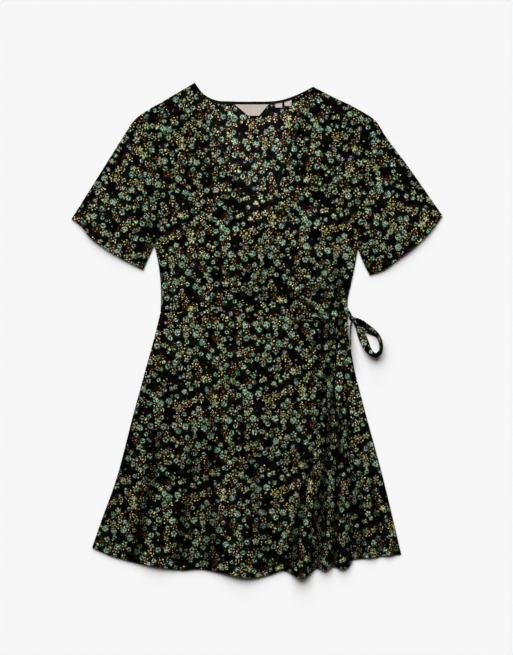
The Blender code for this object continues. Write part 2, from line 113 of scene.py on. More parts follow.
# %% A number that writes its own Math nodes
class Number:
    """A number socket; each operator adds the Math node that does it."""

    def __init__(self, paint, socket):
        self.paint = paint
        self.socket = socket

    def math(self, operation, *others, clamp=False):
        """A Math node with this number first."""
        settings = {"operation": operation, "use_clamp": clamp}
        values = dict(enumerate((self, *others)))
        return self.paint.node("ShaderNodeMath", settings, values)

    def __add__(self, other):
        return self.math("ADD", other)

    def __sub__(self, other):
        return self.math("SUBTRACT", other)

    def __rsub__(self, other):
        return self.math("MULTIPLY_ADD", -1.0, other)

    def __mul__(self, other):
        return self.math("MULTIPLY", other)

    def __truediv__(self, other):
        return self.math("DIVIDE", other)

    def __pow__(self, other):
        return self.math("POWER", other)

    def __lt__(self, other):
        return self.math("LESS_THAN", other)

    def __gt__(self, other):
        return self.math("GREATER_THAN", other)

    __radd__ = __add__
    __rmul__ = __mul__

    def below(self, edge, soft):
        """1 where the number is under the edge, 0 over it, with a soft step that wide."""
        return (edge - self).math("DIVIDE", soft).math("ADD", 0.5, clamp=True)

    def over(self, edge, slope):
        """0 up to the edge, then rising at the slope and held at 1."""
        return (self - edge).math("MULTIPLY", slope, clamp=True)

    def under(self, edge, slope):
        """0 down to the edge, then rising at the slope and held at 1."""
        return (edge - self).math("MULTIPLY", slope, clamp=True)


# %% A material that makes its own nodes
class Paint:
    """A material and its nodes, ending in one Principled shader."""

    def __init__(self, name, roughness, ink=None, **constants):
        self.ink = ink
        self.material = bpy.data.materials.new(name)
        self.material.use_nodes = True
        self.tree = self.material.node_tree
        self.shader = self.tree.nodes["Principled BSDF"]
        self.shader.inputs["Roughness"].default_value = roughness
        for socket, value in constants.items():
            self.shader.inputs[socket.replace("_", " ")].default_value = value

    def node(self, kind, settings=None, values=None, out=0):
        """Any node: its settings first, then the values or links of its sockets; gives one output."""
        made = self.tree.nodes.new(kind)
        for name, value in (settings or {}).items():
            setattr(made, name, value)
        self.fill(made, values or {})
        return self.wrap(made.outputs[out])

    def fill(self, made, values):
        """Sets or links a node's sockets, each by its number or its name."""
        for key, value in values.items():
            if isinstance(value, Number):
                value = value.socket
            if isinstance(value, bpy.types.NodeSocket):
                self.tree.links.new(value, made.inputs[key])
            else:
                made.inputs[key].default_value = value

    def wrap(self, socket):
        """A number socket as a Number, any other as it is."""
        return Number(self, socket) if socket.type == "VALUE" else socket

    def vector(self, operation, *others, out=0):
        """A Vector Math node."""
        return self.node("ShaderNodeVectorMath", {"operation": operation}, dict(enumerate(others)), out)

    def parts(self, whole):
        """The three numbers in a vector or a colour."""
        kind = "ShaderNodeSeparateColor" if whole.type == "RGBA" else "ShaderNodeSeparateXYZ"
        split = self.tree.nodes.new(kind)
        self.tree.links.new(whole, split.inputs[0])
        return tuple(self.wrap(socket) for socket in split.outputs[:3])

    def blend(self, under, over, share):
        """One colour laid over another by a share from 0 to 1."""
        return self.node("ShaderNodeMix", {"data_type": "RGBA"}, {0: share, 6: under, 7: over}, out=2)

    def steps(self, share, stops):
        """A colour ramp in steps: stops are (position, colour), each colour held up to the next."""
        made = self.tree.nodes.new("ShaderNodeValToRGB")
        made.color_ramp.interpolation = "CONSTANT"
        points = made.color_ramp.elements
        while len(points) < len(stops):
            points.new(0.5)
        for point, (position, colour) in zip(points, stops, strict=True):
            point.position = position
            point.color = (*colour, 1)
        self.fill(made, {0: share})
        return made.outputs[0]

    def finish(self, **inputs):
        """Links or sets the shader's own sockets."""
        self.fill(self.shader, {name.replace("_", " "): value for name, value in inputs.items()})
        return self.material


# %% [markdown]
# ## The flower print
#
# The ground is black with faint clouds of olive and plum. On it lies a small all-over print: round
# blooms in mint, fern, sage and sea green, starry ones in yellow green, soft plain dots, sprays of
# mustard and straw seeds on a brown shade, and small buds in rust, rose and slate. A printed cloth
# repeats, here every 160 by 168 mm. So the cut is divided into cells of a quarter of the repeat, each
# slot of a layer sets one motif in each cell, and the motif's place, turn, size and kind come from
# random numbers that depend on the cell's number within the repeat. A motif is smaller than its cell, so
# it is never cut off, and a few such slots, each shifted by a part of a cell, fill the cloth. A painted
# picture of the print would blur close up, and this one stays sharp at any distance.
#
# A bloom's outline is one formula: its radius swings between a waist and full size as the cosine of its
# angle times half the number of petals. A high waist gives a round bloom, and a low one gives a star.

# %% The repeat and its inks
REPEAT_CELLS = 4.0
CELL = (40.0, 42.0)  # millimetres, a quarter of the repeat each way
INK = {
    "ground": (0.0005, 0.0007, 0.0001),
    "plum": (0.0080, 0.0034, 0.0110),
    "olive": (0.0062, 0.0066, 0.0016),
    "moss": (0.0030, 0.0135, 0.0045),
    "bark": (0.0260, 0.0080, 0.0014),
    "mint": (0.198, 0.376, 0.246),
    "sea": (0.042, 0.195, 0.114),
    "fern": (0.110, 0.350, 0.140),
    "sage": (0.275, 0.325, 0.165),
    "leaf": (0.300, 0.345, 0.088),
    "slate": (0.110, 0.150, 0.150),
    "lilac": (0.330, 0.320, 0.300),
    "pale": (0.670, 0.690, 0.570),
    "pine": (0.002, 0.014, 0.008),
    "mustard": (0.680, 0.600, 0.150),
    "straw": (0.920, 0.860, 0.420),
    "rust": (0.210, 0.066, 0.022),
    "rose": (0.340, 0.170, 0.140),
    "wine": (0.100, 0.012, 0.016),
}
WRONG_SIDE_GAIN = (1.36, 1.27, 1.38)  # the wrong side shows every ink a little washed out
WRONG_SIDE_LIFT = 0.0020  # over a greyer ground
print(len(INK), "inks, repeat", [REPEAT_CELLS * side for side in CELL], "mm")

# %% Kinds of bloom and of dot
Motif = namedtuple("Motif", "share waist power size body rim")  # share of the slots, outline, size, inks
BLOOMS = [
    Motif(0.21, 0.80, 0.5, 1.05, "mint", "sea"),
    Motif(0.09, 0.78, 0.5, 1.00, "fern", "sage"),
    Motif(0.12, 0.68, 0.5, 0.99, "sage", "pine"),
    Motif(0.11, 0.82, 0.6, 0.93, "sea", "mint"),
    Motif(0.17, 0.34, 1.1, 1.32, "leaf", "sage"),
    Motif(0.15, 0.97, 1.0, 0.70, "slate", "sea"),
    Motif(0.15, 0.99, 1.0, 0.0, "ground", "ground"),  # no size, so these slots stay bare
]
DOTS = [
    Motif(0.12, 0.97, 1.0, 0.62, "slate", "sea"),
    Motif(0.07, 0.86, 1.0, 0.76, "mint", "sea"),
    Motif(0.10, 0.97, 1.0, 0.46, "lilac", "slate"),
    Motif(0.11, 0.45, 1.2, 0.92, "leaf", "sage"),
    Motif(0.60, 0.99, 1.0, 0.0, "ground", "ground"),
]
print("slots that carry a bloom:", round(1 - BLOOMS[-1].share, 2), "and a dot:", round(1 - DOTS[-1].share, 2))


# %% The nearest motif of a layer
def motif_in_cell(paint, place, slot, spread, seed):
    """The way from a cell's motif to the place, in millimetres, and the motif's three random numbers.

    The cell is the whole part of the place over the cell's size. Its number within the repeat, taken
    round after REPEAT_CELLS, feeds the random numbers, and two of them move the motif off its slot.
    """
    scaled = paint.vector("MULTIPLY_ADD", place, (1 / CELL[0], 1 / CELL[1], 0), (*slot, 0))
    cell = paint.vector("FLOOR", scaled)
    key = paint.vector("WRAP", cell, (REPEAT_CELLS,) * 3, (0, 0, 0))
    noise = {"noise_dimensions": "4D"}
    across, up, _ = paint.parts(paint.node("ShaderNodeTexWhiteNoise", noise, {0: key, 1: seed}, out=1))
    drawn = paint.node("ShaderNodeTexWhiteNoise", noise, {0: key, 1: seed + 0.5}, out=1)
    moved = paint.node("ShaderNodeCombineXYZ", values={0: across, 1: up})
    start = 0.5 - spread / 2
    middle = paint.vector("MULTIPLY_ADD", moved, (spread, spread, 0), (start, start, 0))
    middle = paint.vector("ADD", cell, middle)
    return paint.vector("MULTIPLY", paint.vector("SUBTRACT", scaled, middle), (*CELL, 0)), drawn


SIZE_FROM_TURN = 5.7  # the turn times this, less its whole part, serves as one more random number


def nearest_motif(paint, place, slots, spread, seed):
    """The nearest motif over all the slots: the way from it, turned its own way, and four numbers.

    The numbers are the distance to its middle and its random kind, size and tint.
    """
    way, drawn = motif_in_cell(paint, place, slots[0], spread, seed)
    least = paint.vector("LENGTH", way, out=1)
    for number, slot in enumerate(slots[1:], 1):
        other, other_drawn = motif_in_cell(paint, place, slot, spread, seed + number)
        far = paint.vector("LENGTH", other, out=1)
        closer = far < least
        way = paint.node("ShaderNodeMix", {"data_type": "VECTOR"}, {0: closer, 4: way, 5: other}, out=1)
        drawn = paint.blend(drawn, other_drawn, closer)
        least = least.math("MINIMUM", far)
    kind, turn, tint = paint.parts(drawn)
    angle = {"Angle": turn * (2 * math.pi)}
    way = paint.node("ShaderNodeVectorRotate", {"rotation_type": "Z_AXIS"}, {0: way, **angle})
    return way, least, kind, (turn * SIZE_FROM_TURN).math("FRACT"), tint


# %% Blooms
Ring = namedtuple("Ring", "edge soft strength")  # a band of a bloom, in shares of the bloom's reach
PETALS = 5
BLOOM_RADIUS = 4.4  # millimetres
SMALLEST, SIZE_RANGE = 0.75, 0.6  # the smallest bloom is this share of its kind's size
NEVER_ZERO = 0.01  # added to what is divided by
BARE = 0.05  # a kind of a smaller size than this leaves its slot bare
HALO = Ring(1.45, 0.8, 0.9)
PETAL = Ring(1.0, 0.20, 0.70)
PETAL_TINT = 0.30  # what a strong tint adds to the petals' strength
MID_RING = Ring(0.10, 0.16, 0.7)  # the rim's ink lies about the middle of the reach
RING_AT = 0.50
NOTCH_LOBE, NOTCH_SLOPE, NOTCH_FROM, NOTCH_DEPTH = 0.30, 2.6, 0.42, 0.6  # dark cuts between petals
ROUND_SLOPE = 12  # how fast the notches fade in as the waist drops from 1
STROKE_EDGE, STROKE_SLOPE, STROKE_STRENGTH = 0.49, 9.0, 0.8  # pale strokes of a dry brush
EYE_EDGE, EYE_SOFT = 0.40, 0.14
GOLD_EYE = 0.85  # a stronger tint than this has a mustard eye, and the others a dark one
EYED_SIZE = 0.66  # only smaller blooms than this have an eye
PLAIN_WAIST = 0.95  # a kind with a higher waist is a plain dot without an eye


def stops_of(motifs, value):
    """The ramp's stops: each motif's value from where its share of the slots begins."""
    starts = np.concatenate([[0], np.cumsum([m.share for m in motifs])[:-1]])
    return [(float(start), value(m)) for start, m in zip(starts, motifs, strict=True)]


def blooms(paint, colour, place, brush, motifs, slots, spread, seed):
    """One layer of blooms over the colour: dark halo, petals, ring, notches, pale strokes and eye.

    The reach of a bloom is waist + (1 - waist) * lobe^(2 power), times its size, where the lobe is the
    absolute cosine of the angle times half the number of petals.
    """
    way, radius, kind, size, tint = nearest_motif(paint, place, slots, spread, seed)
    across, up, _ = paint.parts(way)
    angle = up.math("ARCTAN2", across)
    shape = paint.steps(kind, stops_of(motifs, lambda m: (m.waist, m.power / 2, m.size / 2)))
    waist, power, full = paint.parts(shape)  # a colour holds no more than 1, so two of them are halved
    lobe = (angle * (PETALS / 2)).math("COSINE").math("ABSOLUTE")
    outline = waist + (1 - waist) * lobe ** (power * 2)
    reach = outline * full * (size * SIZE_RANGE + SMALLEST) * (2 * BLOOM_RADIUS)
    share = radius / (reach + NEVER_ZERO)
    body = paint.steps(kind, stops_of(motifs, lambda m: paint.ink[m.body][:3]))
    rim = paint.steps(kind, stops_of(motifs, lambda m: paint.ink[m.rim][:3]))
    halo = share.below(HALO.edge, HALO.soft) * (full > BARE) * HALO.strength
    petal = share.below(PETAL.edge, PETAL.soft) * (full > BARE) * (tint * PETAL_TINT + PETAL.strength)
    colour = paint.blend(colour, paint.ink["moss"], halo)
    ring = (share - RING_AT).math("ABSOLUTE").below(MID_RING.edge, MID_RING.soft) * MID_RING.strength
    face = paint.blend(body, rim, ring)
    notch = lobe.under(NOTCH_LOBE, NOTCH_SLOPE) * (share > NOTCH_FROM) * NOTCH_DEPTH
    face = paint.blend(face, paint.ink["pine"], notch * waist.under(1, ROUND_SLOPE))
    face = paint.blend(face, paint.ink["pale"], brush.under(STROKE_EDGE, STROKE_SLOPE) * STROKE_STRENGTH)
    eye = paint.blend(paint.ink["pine"], paint.ink["mustard"], tint > GOLD_EYE)
    eyed = (waist < PLAIN_WAIST) * (size < EYED_SIZE)
    face = paint.blend(face, eye, share.below(EYE_EDGE, EYE_SOFT) * eyed)
    return paint.blend(colour, face, petal)


# %% Sprays of seeds
SPRAY_ARMS = 3
SPRAY_SHARE = 0.68  # of the slots carry a spray
SPRAY_REACH, SPRAY_RANGE = 6.0, 3.4  # millimetres: the smallest, and what the largest has more
ARM_REACH, ARM_LOBE = 0.6, 0.45  # the share between the arms, and what an arm has more
SEEDS = (0.245, 0.355, 1)  # to a millimetre along and across, so a seed is longer than it is wide
SEED_EDGE, SEED_SOFT = 0.30, 0.08
SEEDS_KEPT, FEWER_OUTSIDE = 0.84, 0.6  # the share of seeds kept, and how much of it is lost at the rim
SEED_INKS = [(0, "mustard"), (0.26, "straw"), (0.66, "leaf"), (0.94, "rust")]  # where each one's share begins


def stepped_ink(paint, pick, inks):
    """One ink of the list for each value of the number."""
    return paint.steps(pick, [(start, paint.ink[name][:3]) for start, name in inks])


def sprays(paint, colour, place, slots, spread, seed):
    """A fan of small long seeds on a brown shade: a fine cell pattern kept inside a lobed outline.

    The reach swings with the absolute cosine of the angle times half the number of arms.
    """
    way, radius, kind, size, tint = nearest_motif(paint, place, slots, spread, seed)
    across, up, _ = paint.parts(way)
    fan = (up.math("ARCTAN2", across) * (SPRAY_ARMS / 2)).math("COSINE").math("ABSOLUTE")
    reach = (fan * ARM_LOBE + ARM_REACH) * (size * SPRAY_RANGE + SPRAY_REACH) * (kind < SPRAY_SHARE)
    share = radius / (reach + NEVER_ZERO)
    flat = {"voronoi_dimensions": "2D"}
    values = {"Vector": paint.vector("MULTIPLY", way, SEEDS), "Scale": 1.0, "Randomness": 0.85}
    near = paint.node("ShaderNodeTexVoronoi", flat, values)
    hue = paint.node("ShaderNodeTexVoronoi", flat, values, out=1)
    pick, keep, _ = paint.parts(hue)
    seed_ink = stepped_ink(paint, pick, SEED_INKS)
    seed_ink = paint.blend(seed_ink, paint.ink["rust"], (tint > 0.9) * 0.7)
    shade = paint.blend(paint.ink["bark"], paint.ink["wine"], (tint * 1.3).math("FRACT") * 0.25)
    colour = paint.blend(colour, shade, share.below(0.95, 0.4) * 0.8)
    kept = share * FEWER_OUTSIDE + keep < SEEDS_KEPT
    return paint.blend(colour, seed_ink, near.below(SEED_EDGE, SEED_SOFT) * kept)


# %% Buds
BUD_SHARE = 0.93  # of the slots carry a bud
BUD_REACH, BUD_RANGE = 1.2, 1.5  # millimetres: the smallest, and what the largest has more
BUD_FLAT, BUD_POINT = 1.7, 0.22  # how much a bud is squeezed one way, and pointed the other
BUD_INKS = [
    (0, "slate"), (0.2, "mint"), (0.34, "rust"), (0.50, "rose"), (0.62, "mustard"), (0.72, "wine"),
    (0.86, "straw"),
]
WARM_FROM = 0.34  # from this share on the bud has a brown shade round it


def buds(paint, colour, place, slots, spread, seed):
    """Small drop-shaped marks, each in one ink, with a brown shade round the warm ones.

    The radius is the root of the squares, one of them weighted by BUD_FLAT, plus a share of the place
    across, which draws the outline out to one side.
    """
    way, _, kind, size, tint = nearest_motif(paint, place, slots, spread, seed)
    across, up, _ = paint.parts(way)
    radius = (across * across + up * up * BUD_FLAT).math("SQRT") + across * BUD_POINT
    reach = (size * BUD_RANGE + BUD_REACH) * (kind < BUD_SHARE)
    shade = radius.below(reach * 1.7, 1.2) * (kind > WARM_FROM) * 0.8
    colour = paint.blend(colour, paint.ink["bark"], shade)
    mark = radius.below(reach, 0.35) * (tint * 0.35 + 0.65)
    return paint.blend(colour, stepped_ink(paint, kind, BUD_INKS), mark)


# %% Where each layer's motifs start from, as shares of a cell
BLOOM_SLOTS = [
    (0.26, 0.46), (0.70, 0.41), (0.22, 0.95), (0.02, 0.22), (0.54, 0.09), (0.98, 0.74), (0.54, 0.68),
]
DOT_SLOTS = [(0.97, 0.00), (0.80, 0.61), (0.47, 0.37), (0.45, 0.90)]
BUD_SLOTS = [(0.14, 0.30), (0.64, 0.36), (0.40, 0.80), (0.90, 0.84)]
SPRAY_SLOTS = [(0.27, 0.71), (0.99, 0.47), (0.77, 0.19), (0.29, 0.19), (0.73, 0.85)]
LAYER_SLOTS = [BLOOM_SLOTS, DOT_SLOTS, BUD_SLOTS, SPRAY_SLOTS]
print("motifs in a repeat:", int(REPEAT_CELLS**2) * sum(map(len, LAYER_SLOTS)))

# %% [markdown]
# ## The printed cloth
#
# The four layers lie over each other as screens do in printing: sprays, buds, dots and then blooms. A
# noise first pushes every place about by a millimetre or two, so that no outline is a perfect curve, and
# another one, like dry brush strokes, lets the ground show through the ink. The cloth is a crepe, whose
# grain is a small part of a millimetre deep, so a bump is enough for it. The valleys between folds get a
# little darker than light alone makes them, by a number that each piece carries under the name "sunk".

# %% The printed cloth
WANDER = 4.4  # millimetres from one end of the noise to the other
WANDER_NOISE = {"Scale": 0.16, "Detail": 3.0, "Roughness": 0.7}
BRUSH_NOISE = {"Scale": 0.36, "Detail": 3.0}
CLOUD_NOISE = {"Scale": 0.05, "Detail": 1.0}
CREPE_NOISE = {"Scale": 0.42, "Detail": 4.0}
THREAD_PITCH = 0.42  # millimetres
CREPE_DEPTH = 0.35 * MM
WEAVE_SHARE, CREPE_SHARE = 0.10, 0.9
SUNK_DARKENS = 0.8


def printed_cloth(name, gain, lift):
    """The print over a black ground, with the crepe's grain; every ink is multiplied and then lifted."""
    inks = {
        ink: (*(share * part + lift for share, part in zip(gain, rgb, strict=True)), 1.0)
        for ink, rgb in INK.items()
    }
    paint = Paint(name, 0.85, inks, Specular_IOR_Level=0.0)

    def noise(settings, out=0):
        """A noise at the place as it is by then."""
        return paint.node("ShaderNodeTexNoise", values={"Vector": place, **settings}, out=out)

    cut = paint.node("ShaderNodeUVMap", {"uv_map": "cut"})
    place = paint.vector("MULTIPLY", cut, (1 / MM, 1 / MM, 0))
    place = paint.vector("MULTIPLY_ADD", noise(WANDER_NOISE, out=1), (WANDER, WANDER, 0), place)
    brush = noise(BRUSH_NOISE)
    cloud = noise(CLOUD_NOISE)
    colour = paint.blend(paint.ink["olive"], paint.ink["ground"], cloud.over(0.38, 9))
    colour = paint.blend(colour, paint.ink["plum"], cloud.over(0.54, 7))
    colour = sprays(paint, colour, place, SPRAY_SLOTS, 0.24, 23)
    colour = buds(paint, colour, place, BUD_SLOTS, 0.5, 40)
    colour = blooms(paint, colour, place, brush, DOTS, DOT_SLOTS, 0.26, 60)
    colour = blooms(paint, colour, place, brush, BLOOMS, BLOOM_SLOTS, 0.18, 1)
    colour = paint.blend(colour, paint.ink["ground"], brush.over(0.475, 11.0) * 0.90)
    # painted shade: the print sinks towards black by each piece's number "sunk", in the valleys of folds,
    # along seams and edges that cross over other cloth, by the tie and towards the hem
    sunk = paint.node("ShaderNodeAttribute", {"attribute_name": "sunk"}, out=2)
    colour = paint.blend(colour, paint.ink["ground"], sunk * SUNK_DARKENS)
    across, up, _ = paint.parts(place)
    turns = 2 * math.pi / THREAD_PITCH
    weave = (across * turns).math("SINE") * (up * turns).math("SINE")
    relief = weave * WEAVE_SHARE + noise(CREPE_NOISE) * CREPE_SHARE
    bump = paint.node("ShaderNodeBump", values={"Strength": 0.55, "Distance": CREPE_DEPTH, "Height": relief})
    return paint.finish(Base_Color=colour, Normal=bump)


CLOTH_PRINT = printed_cloth("printed_cloth", (1.0, 1.0, 1.0), 0.0)
WRONG_SIDE = printed_cloth("printed_cloth_wrong_side", WRONG_SIDE_GAIN, WRONG_SIDE_LIFT)
print("print nodes:", len(CLOTH_PRINT.node_tree.nodes))

# %% [markdown]
# ## Plain finishes
#
# The neck is bound with plain black bias tape, whose twill shows as fine slanting lines. The labels are
# soft cream woven tape: fine ribs across, a little unevenness, and no lettering at all. The sewing thread
# is black and slightly glossy. All three are ribbed, so one function with other numbers makes each.

# %% Binding, labels and thread
TAPE_MOTTLE = {"Scale": 420.0, "Detail": 3.0}


def ribbed(name, colour, dark, rib, slant, roughness, depth):
    """A woven tape: fine ribs at a slant raise the threads, and painted shade darkens the valleys between
    them.
    """
    paint = Paint(name, roughness, Specular_IOR_Level=0.08)
    spot = paint.node("ShaderNodeTexCoord", out=3)
    across, up, _ = paint.parts(spot)
    wave = ((across * slant + up) * (2 * math.pi / rib)).math("SINE") * 0.5 + 0.5
    cross = (across * (2 * math.pi / (rib * 1.3))).math("SINE") * 0.5 + 0.5
    mottle = paint.node("ShaderNodeTexNoise", values={"Vector": spot, **TAPE_MOTTLE})
    weave = wave * 0.6 + cross * 0.25
    # painted shade in the valleys between the ribs, mixed with the tape's own uneven tone from the mottle
    shade = (weave * -0.45 + mottle * 0.8).math("MULTIPLY", 1.0, clamp=True)
    tone = paint.blend((*colour, 1), (*dark, 1), shade)
    bump = paint.node("ShaderNodeBump", values={"Strength": 0.6, "Distance": depth, "Height": weave + mottle})
    return paint.finish(Base_Color=tone, Normal=bump)


BLACK_TAPE = (0.0060, 0.0060, 0.0065)
BINDING = ribbed("plain_binding", BLACK_TAPE, (0.0015,) * 3, 0.7 * MM, 1.0, 0.8, 0.2 * MM)
TAPE = ribbed("label_tape", (0.57, 0.495, 0.435), (0.34, 0.285, 0.245), 0.5 * MM, 0.0, 0.8, 0.1 * MM)
THREAD = ribbed("thread", (0.020,) * 3, (0.005,) * 3, 0.3 * MM, 0.8, 0.5, 0.05 * MM)
print("tapes:", [material.name for material in (BINDING, TAPE, THREAD)])

# %% [markdown]
# ## The floor
#
# The floor is plain pale paper, one large square, wide enough to fill every view. The cloth rests on
# zero, and the paper lies just under it, so that the two surfaces never share a plane and flicker.

# %% Floor
FLOOR_SIDE = 24.0
FLOOR_DROP = 0.2 * MM
paper = Paint("paper", 0.9, Specular_IOR_Level=0.1)
PAPER = paper.finish(Base_Color=(0.86, 0.86, 0.86, 1))
half = FLOOR_SIDE / 2
floor_mesh = bpy.data.meshes.new("floor")
floor_corners = [(x, y, -FLOOR_DROP) for x, y in ((-half, -half), (half, -half), (half, half), (-half, half))]
floor_mesh.from_pydata(floor_corners, [], [(0, 1, 2, 3)])
floor_mesh.materials.append(PAPER)
floor = bpy.data.objects.new("floor", floor_mesh)
scene.collection.objects.link(floor)
print("floor", FLOOR_SIDE, "m square,", FLOOR_DROP / MM, "mm down")

# %% [markdown]
# ## The cut pieces
#
# A dressmaker starts from the seam lines, and so does this model: every seam and edge is a smooth curve
# through a few spots, and two pieces that meet share the same curve. Between its four edges each piece is
# filled with a Coons patch, which slides one pair of edges towards each other and corrects with the
# other pair. A sculpted or draped mesh would leave gaps along the seams, and this one can't. The curves
# are those of the solid model, in millimetres on the laid dress.

# %% Corners
Spot = namedtuple("Spot", "across up")
NECK_LEFT = Spot(-111, 442)
NECK_RIGHT = Spot(100, 435)
SHOULDER_LEFT = Spot(-172, 406)
SHOULDER_RIGHT = Spot(167, 402)
UNDERARM_LEFT = Spot(-183, 152)
UNDERARM_RIGHT = Spot(180, 147)
WAIST_LEFT = Spot(-172, 32)
WAIST_RIGHT = Spot(162, 34)
TIE_CORNER = Spot(161, 20)
HEM_LEFT = Spot(-294, -387)
HEM_RIGHT = Spot(257, -399)
WRAP_HEM = Spot(170, -413)
LAP_WAIST = Spot(-126, 33)
LAP_HEM = Spot(-150, -416)
CUFF_LEFT_OUTER = Spot(-331, 199)
CUFF_LEFT_INNER = Spot(-203, 108)
CUFF_RIGHT_OUTER = Spot(331, 205)
CUFF_RIGHT_INNER = Spot(201, 99)
print("waist", WAIST_RIGHT.across - WAIST_LEFT.across, "mm, hem", HEM_RIGHT.across - HEM_LEFT.across, "mm")

# %% Seams and edges of the bodice
SHOULDER_SEAM_LEFT = [SHOULDER_LEFT, Spot(-152, 418), NECK_LEFT]
SHOULDER_SEAM_RIGHT = [SHOULDER_RIGHT, Spot(137, 416), NECK_RIGHT]
BACK_NECK = [
    NECK_LEFT, Spot(-100, 427), Spot(-91, 419), Spot(-73, 411), Spot(-46, 409),
    Spot(-10, 408.5), Spot(46, 412), Spot(72, 421), NECK_RIGHT,
]
ARMHOLE_LEFT = [
    SHOULDER_LEFT, Spot(-156, 378), Spot(-149, 339), Spot(-149, 277), Spot(-158, 223),
    Spot(-173, 182), UNDERARM_LEFT,
]
ARMHOLE_RIGHT = [
    SHOULDER_RIGHT, Spot(154, 378), Spot(149, 339), Spot(150, 277), Spot(156, 223),
    Spot(171, 182), UNDERARM_RIGHT,
]
SIDE_LEFT = [UNDERARM_LEFT, Spot(-177, 127), Spot(-172, 89), Spot(-171, 54), WAIST_LEFT]
SIDE_RIGHT = [UNDERARM_RIGHT, Spot(174, 114), Spot(167, 80), Spot(161.5, 54), WAIST_RIGHT]
OVER_NECKLINE = [
    NECK_LEFT, Spot(-101, 398), Spot(-56, 302), Spot(-12, 205), Spot(40, 143), Spot(78, 96),
    Spot(122, 55), TIE_CORNER,
]
UNDER_NECKLINE = [
    NECK_RIGHT, Spot(92, 416), Spot(60, 321), Spot(15, 193), Spot(-29, 129), Spot(-79, 80), LAP_WAIST,
]
OVER_WAIST = [WAIST_LEFT, Spot(-21, 33), Spot(51, 25), Spot(113, 18), TIE_CORNER]

# %% Seams and edges of the skirt
SKIRT_LEFT = [
    WAIST_LEFT, Spot(-181, -5), Spot(-199, -71), Spot(-220, -148), Spot(-254, -275),
    Spot(-277, -338), HEM_LEFT,
]
SKIRT_RIGHT = [
    WAIST_RIGHT, Spot(162, -3), Spot(168, -38), Spot(174, -71), Spot(188, -127),
    Spot(223, -257), HEM_RIGHT,
]
WRAP_EDGE = [
    TIE_CORNER, Spot(160, -27), Spot(162, -125), Spot(166, -250), Spot(168, -339), WRAP_HEM,
]
OVER_HEM = [
    HEM_LEFT, Spot(-267, -399.5), Spot(-232, -410), Spot(-179, -421), Spot(-131, -427), Spot(-103, -425),
    Spot(-74, -430), Spot(-12, -441), Spot(24, -435), Spot(49, -428), Spot(65, -436), Spot(79, -442),
    Spot(94, -434), Spot(106, -424), Spot(121, -427), Spot(136, -421), Spot(150, -425), Spot(162, -422),
    WRAP_HEM,
]
UNDER_HEM = [LAP_HEM, Spot(-12, -425), Spot(79, -420), Spot(174, -408.5), HEM_RIGHT]
BACK_HEM = [
    HEM_LEFT, Spot(-232, -406), Spot(-131, -420), Spot(-12, -427), Spot(79, -419), Spot(174, -407.5),
    HEM_RIGHT,
]

# %% Edges of the sleeves
SLEEVE_FOLD_LEFT = [
    SHOULDER_LEFT, Spot(-194, 394), Spot(-219, 375), Spot(-238, 347), Spot(-273, 291), CUFF_LEFT_OUTER,
]
SLEEVE_FOLD_RIGHT = [
    SHOULDER_RIGHT, Spot(192, 388), Spot(211, 375), Spot(227, 350), Spot(265.5, 298), CUFF_RIGHT_OUTER,
]
SLEEVE_UNDER_LEFT = [UNDERARM_LEFT, Spot(-193, 131), CUFF_LEFT_INNER]
SLEEVE_UNDER_RIGHT = [UNDERARM_RIGHT, Spot(190, 121), CUFF_RIGHT_INNER]
CUFF_LEFT = [
    CUFF_LEFT_OUTER, Spot(-316, 188), Spot(-298, 166), Spot(-274, 148), Spot(-240, 127.5), CUFF_LEFT_INNER,
]
CUFF_RIGHT = [
    CUFF_RIGHT_OUTER, Spot(313.5, 181), Spot(285, 152.5), Spot(250, 125.5), Spot(224, 107), CUFF_RIGHT_INNER,
]


# %% Smooth lines
CURVE_STEPS = 400  # how finely a curve is measured before points are set along it


def run_along(line):
    """How far along the line each of its points is, as a length."""
    return np.concatenate([[0], np.cumsum(np.linalg.norm(np.diff(line, axis=0), axis=1))])


def smooth_rows(knots, fractions):
    """Rows of numbers at the given shares of the length of a smooth curve through the knots.

    Between two knots the curve is the cubic that has their places and slopes, and a knot's slope is the
    one between its two neighbours. The first two numbers of a row are its place, which sets the length;
    any others come along.
    """
    chord = np.linalg.norm(np.diff(knots[:, :2], axis=0), axis=1)
    at = np.concatenate([[0], np.cumsum(chord)])
    slope = np.gradient(knots, at, axis=0)
    fine = np.linspace(0, at[-1], CURVE_STEPS)
    span = np.clip(np.searchsorted(at, fine, side="right") - 1, 0, len(chord) - 1)
    t = ((fine - at[span]) / chord[span])[:, None]
    start, end = knots[span], knots[span + 1]
    pull_start, pull_end = slope[span] * chord[span, None], slope[span + 1] * chord[span, None]
    curve = (
        (2 * t**3 - 3 * t**2 + 1) * start + (t**3 - 2 * t**2 + t) * pull_start
        + (3 * t**2 - 2 * t**3) * end + (t**3 - t**2) * pull_end
    )
    run = run_along(curve[:, :2])
    where = np.asarray(fractions) * run[-1]
    return np.stack([np.interp(where, run, column) for column in curve.T], axis=1)


def smooth_line(spots, fractions):
    """The points, in metres, at shares of the length of a smooth curve through spots in millimetres."""
    knots = np.array(spots, float) * MM
    if len(knots) == 2:
        return knots[0] + np.asarray(fractions)[:, None] * (knots[1] - knots[0])
    return smooth_rows(knots, fractions)


# %% Shares, joins and offsets
def even(count):
    """The shares 0 to 1 in so many equal steps."""
    return np.linspace(0, 1, count + 1)


def close_at_ends(count, near=(0.0012, 0.0035, 0.0075)):
    """The shares 0 to 1 in so many steps, with a few close ones at both ends, where an edge rolls over."""
    near = np.array(near)
    inner = np.linspace(2 * near[-1], 1 - 2 * near[-1], count + 1)
    return np.concatenate([[0], near, inner, 1 - near[::-1], [1]])


def joined(*lines):
    """Lines end to end, without the points that two of them share."""
    return np.concatenate([lines[0]] + [line[1:] for line in lines[1:]])


def unit(ways):
    """Each vector of an array, made one long."""
    return ways / np.linalg.norm(ways, axis=-1, keepdims=True)


